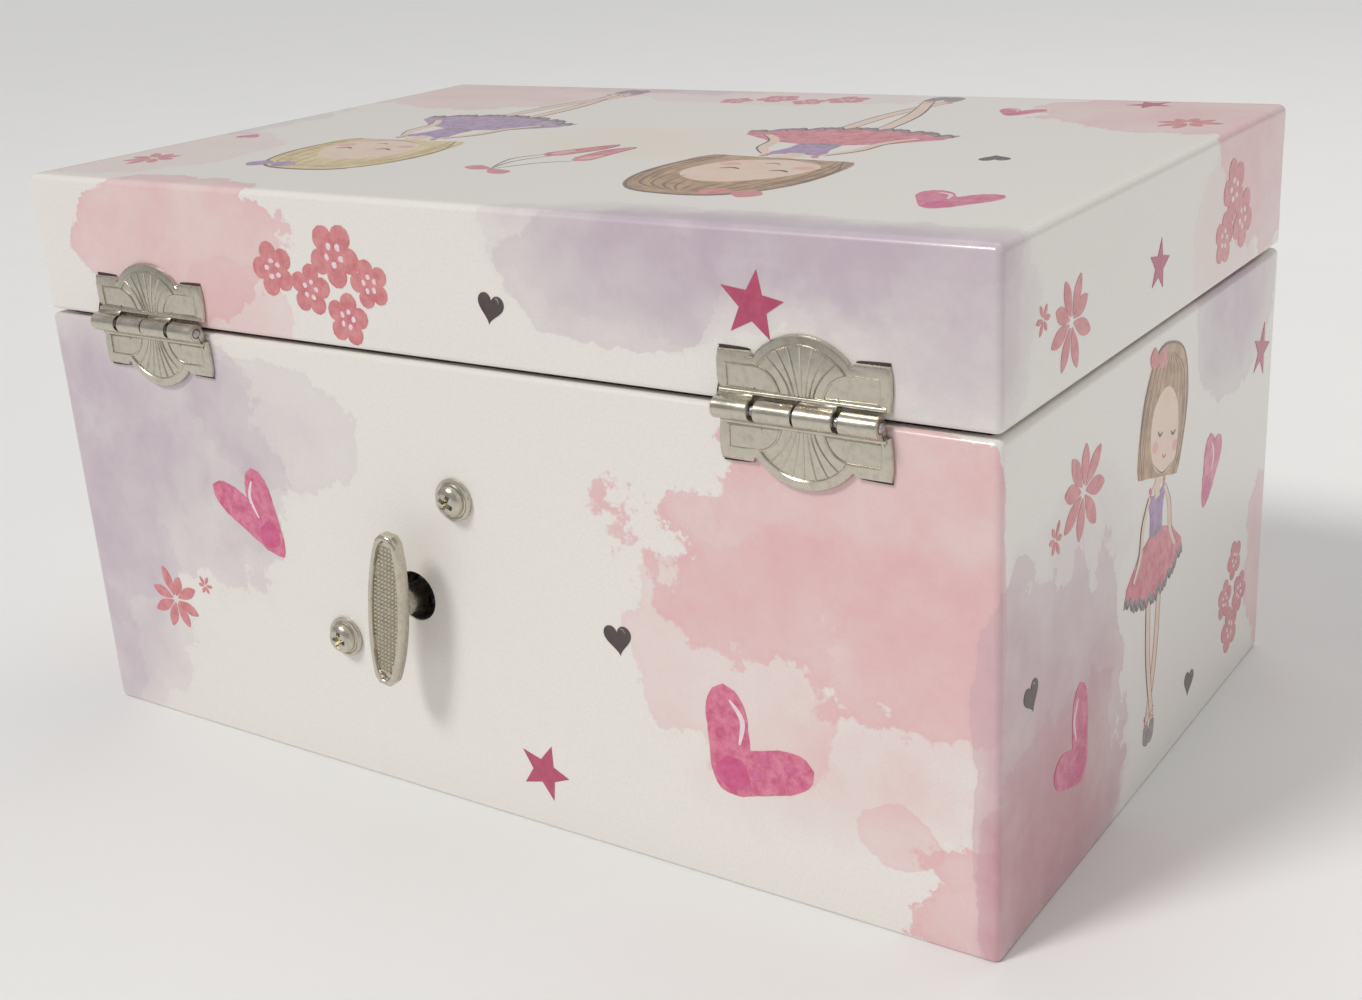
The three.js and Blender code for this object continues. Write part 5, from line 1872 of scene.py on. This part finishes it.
def tutu(costume):
    """Layers of gathered tulle, each a thin ruffled ring round the hips."""
    rand = random.Random(7)
    thick = 0.14
    for layer in range(5):
        outer = 17.4 - 1.3 * abs(layer - 1.6)
        rise = 25.2 - 0.45 * layer
        tip = rise + 0.2 - 0.78 * layer
        waves = 17 + 2 * layer
        phase = rand.random() * 6
        wobble = [rand.random() for _ in range(7)]
        rows, sides = 12, 216
        vertices = []
        for sheet_side in (0, 1):
            for j in range(rows + 1):
                t = j / rows
                r = 2.3 + (outer - 2.3) * t
                for k in range(sides):
                    a = 2 * math.pi * k / sides
                    swing = sum(w * math.sin((i + 2) * a + 5 * w) for i, w in enumerate(wobble)) * 0.13
                    depth = 0.12 + 0.85 * t**1.3
                    ruffle = depth * math.sin(waves * a + phase + 0.7 * math.sin(3 * a)) * 0.62
                    h = rise + (tip - rise) * t - 1.1 * t * t + ruffle + swing * t
                    edge = 0.35 * t * math.sin(2 * waves * a + phase)
                    vertices.append(
                        lay(((r + edge) * math.cos(a), (r + edge) * math.sin(a), h + thick * sheet_side))
                    )
        made = piece(f"tutu_layer_{layer + 1}", vertices, shell(rows + 1, sides), "tulle", 80)
        settle(made, "dancer", ["dancer_tutu"])
    sash = [(2.75 * math.cos(a), 2.1 * math.sin(a), 25.9) for a in turn_angles(30)]
    parts = [laid_tube(sash, 0.42, "doll_pink", 8)]
    for side in (-1, 1):
        bow = [(0, 2.2, 25.9), (1.1, 2.7, 26.9), (2.1, 2.75, 26.4), (1.2, 2.7, 25.6), (0, 2.2, 25.9)]
        parts.append(laid_tube(smooth(flip(bow, side), False), 0.28, "doll_pink", 8))
        tail = [(0, 2.3, 25.8), (0.7, 3.0, 24.9), (1.1, 3.6, 24.6)]
        parts.append(laid_tube(flip(tail, side), [0.25, 0.3, 0.12], "doll_pink", 8))
    sash_piece = merge("dancer_sash", parts)
    settle(sash_piece, "dancer", ["dancer_figure"])


def dancer_mount():
    # spindle with its cap
    y = (SPINDLE_LOW.y + SPINDLE_HIGH.y) / 2
    cap = SPINDLE_HIGH.z
    profile = [
        (0.01, SPINDLE_LOW.z), (1.2, SPINDLE_LOW.z), (1.5, SPINDLE_LOW.z + 0.3), (1.5, cap - 1.2),
        (4.8, cap - 1.2),
    ]
    profile += [
        (5.0, cap - 1.0), (5.0, cap - 0.8), (4.7, cap - 0.35), (4.2, cap - 0.2), (3.9, cap - 0.32),
        (3.4, cap - 0.05), (2.9, cap), (0.01, cap),
    ]
    cap_piece = lathe("spindle_cap", profile, "plastic", (0, y, 0), (0, 0, 1), 48, 30)
    close_ends(cap_piece)
    settle(cap_piece, BODY_OF["dancer_spindle"], ["dancer_spindle"])
    # coil spring, bent through a right angle
    foot = cap + 0.3
    end_y = FERRULE_HIGH.y + 0.3
    bend = LINE_Z - 5.5 if LINE_Z - 5.5 > foot else foot
    radius = LINE_Z - bend
    centre_y = y - radius
    path = [Vector((0, y, foot + (bend - foot) * i / 6)) for i in range(6)]
    path += [
        Vector((0, centre_y + radius * math.cos(a), bend + radius * math.sin(a)))
        for a in (math.pi / 2 * i / 30 for i in range(31))
    ]
    path += [Vector((0, centre_y - (centre_y - end_y) * i / 6, LINE_Z)) for i in range(1, 7)]
    lengths = [0.0]
    for a, b in zip(path, path[1:]):
        lengths.append(lengths[-1] + (b - a).length)
    total = lengths[-1]
    turns, per_turn = 14, 16
    coil = []
    k = 0
    for i in range(turns * per_turn + 1):
        s = total * (0.02 + 0.96 * i / (turns * per_turn))
        while k < len(path) - 2 and lengths[k + 1] < s:
            k += 1
        t = (s - lengths[k]) / (lengths[k + 1] - lengths[k])
        point = path[k].lerp(path[k + 1], t)
        ahead = (path[k + 1] - path[k]).normalized()
        side = Vector((1, 0, 0))
        other = ahead.cross(side)
        a = 2 * math.pi * i / per_turn
        coil.append(point + 2.05 * (math.cos(a) * side + math.sin(a) * other))
    spring = tube("spring_coil", coil, 0.3, "steel", 8)
    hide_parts("dancer_spring")
    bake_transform(spring)
    # ferrule: crimped cup and the pin the figure turns on
    long = FERRULE_HIGH.y - FERRULE_LOW.y
    profile = [
        (0.01, 0), (2.6, 0), (2.8, 0.15), (2.8, 0.7), (2.62, 0.9), (2.8, 1.1), (2.75, 1.9), (2.5, 2.1),
        (2.6, 2.4), (2.3, 3.4), (2.0, 3.9),
    ]
    profile += [(1.2, 4.0), (0.8, 4.15), (0.8, long - 0.4), (0.5, long), (0.01, long)]
    cup = lathe("ferrule_cup", profile, "brass", (0, FERRULE_HIGH.y, LINE_Z), (0, -1, 0), 32, 30)
    close_ends(cup)
    settle(cup, BODY_OF["dancer_ferrule"], ["dancer_ferrule"])


# ---------------------------------------------------------------- stage
FLOOR_HALF = 15000
STUDIO_WHITE = (1.0, 0.985, 0.95)


def stage():
    size = FLOOR_HALF
    vertices, faces = [], []
    n = 24
    for j in range(n + 1):
        for i in range(n + 1):
            vertices.append((-size + 2 * size * i / n, -size + 2 * size * j / n, 0))
    for j in range(n):
        for i in range(n):
            a = j * (n + 1) + i
            faces.append([a, a + 1, a + n + 2, a + n + 1])
    look = Look("floor", Roughness=0.7)
    look.set("Base Color", look.mix(srgb(246, 246, 246), srgb(242, 242, 242), look.noise(60, 3)))
    LOOKS["floor"] = look.material
    floor = piece("floor", vertices, faces, "floor")


def lamp(name, at, aim, size, power, tint):
    data = bpy.data.lights.new(name, "AREA")
    data.shape = "RECTANGLE"
    data.size, data.size_y = size
    data.energy = power
    data.color = tint
    made = bpy.data.objects.new(name, data)
    made.location = at
    made.rotation_mode = "QUATERNION"
    made.rotation_quaternion = (Vector(aim) - Vector(at)).to_track_quat("-Z", "Y")
    bpy.context.scene.collection.objects.link(made)


def lights():
    world = bpy.data.worlds.new("studio")
    world.use_nodes = True
    world.node_tree.nodes["Background"].inputs["Color"].default_value = (1, 1, 1, 1)
    world.node_tree.nodes["Background"].inputs["Strength"].default_value = 0.37
    bpy.context.scene.world = world
    bpy.context.scene.view_settings.view_transform = "Standard"
    middle = (0, 0, 0.05)
    sun = bpy.data.lights.new("sun", "SUN")
    sun.energy = 1.4
    sun.angle = math.radians(14)
    sun.color = STUDIO_WHITE
    high = bpy.data.objects.new("sun", sun)
    high.rotation_mode = "QUATERNION"
    high.rotation_quaternion = Vector((-0.42, -0.8, -1.05)).to_track_quat("-Z", "Y")
    bpy.context.scene.collection.objects.link(high)
    lamp("side", (-1.2, 0.1, 0.6), middle, (0.6, 0.5), 0.7, (1.0, 0.9, 0.8))
    lamp("overhead", (-0.1, -0.4, 1.1), middle, (0.9, 0.6), 2.4, STUDIO_WHITE)


camera()
lights()
stage()
make_looks()
printed_papers()
printed_motifs()
for side in ("left", "right"):
    hinge_leaf(side, "upper")
    hinge_leaf(side, "lower")
    hinge_pin(side)
winding_key()
movement_screw("upper_movement_screw", 0.5)
movement_screw("lower_movement_screw", 0.2)
linings()
cushions()
hidden_parts()
stop_wire()
dancer_mount()
tutu(figure())
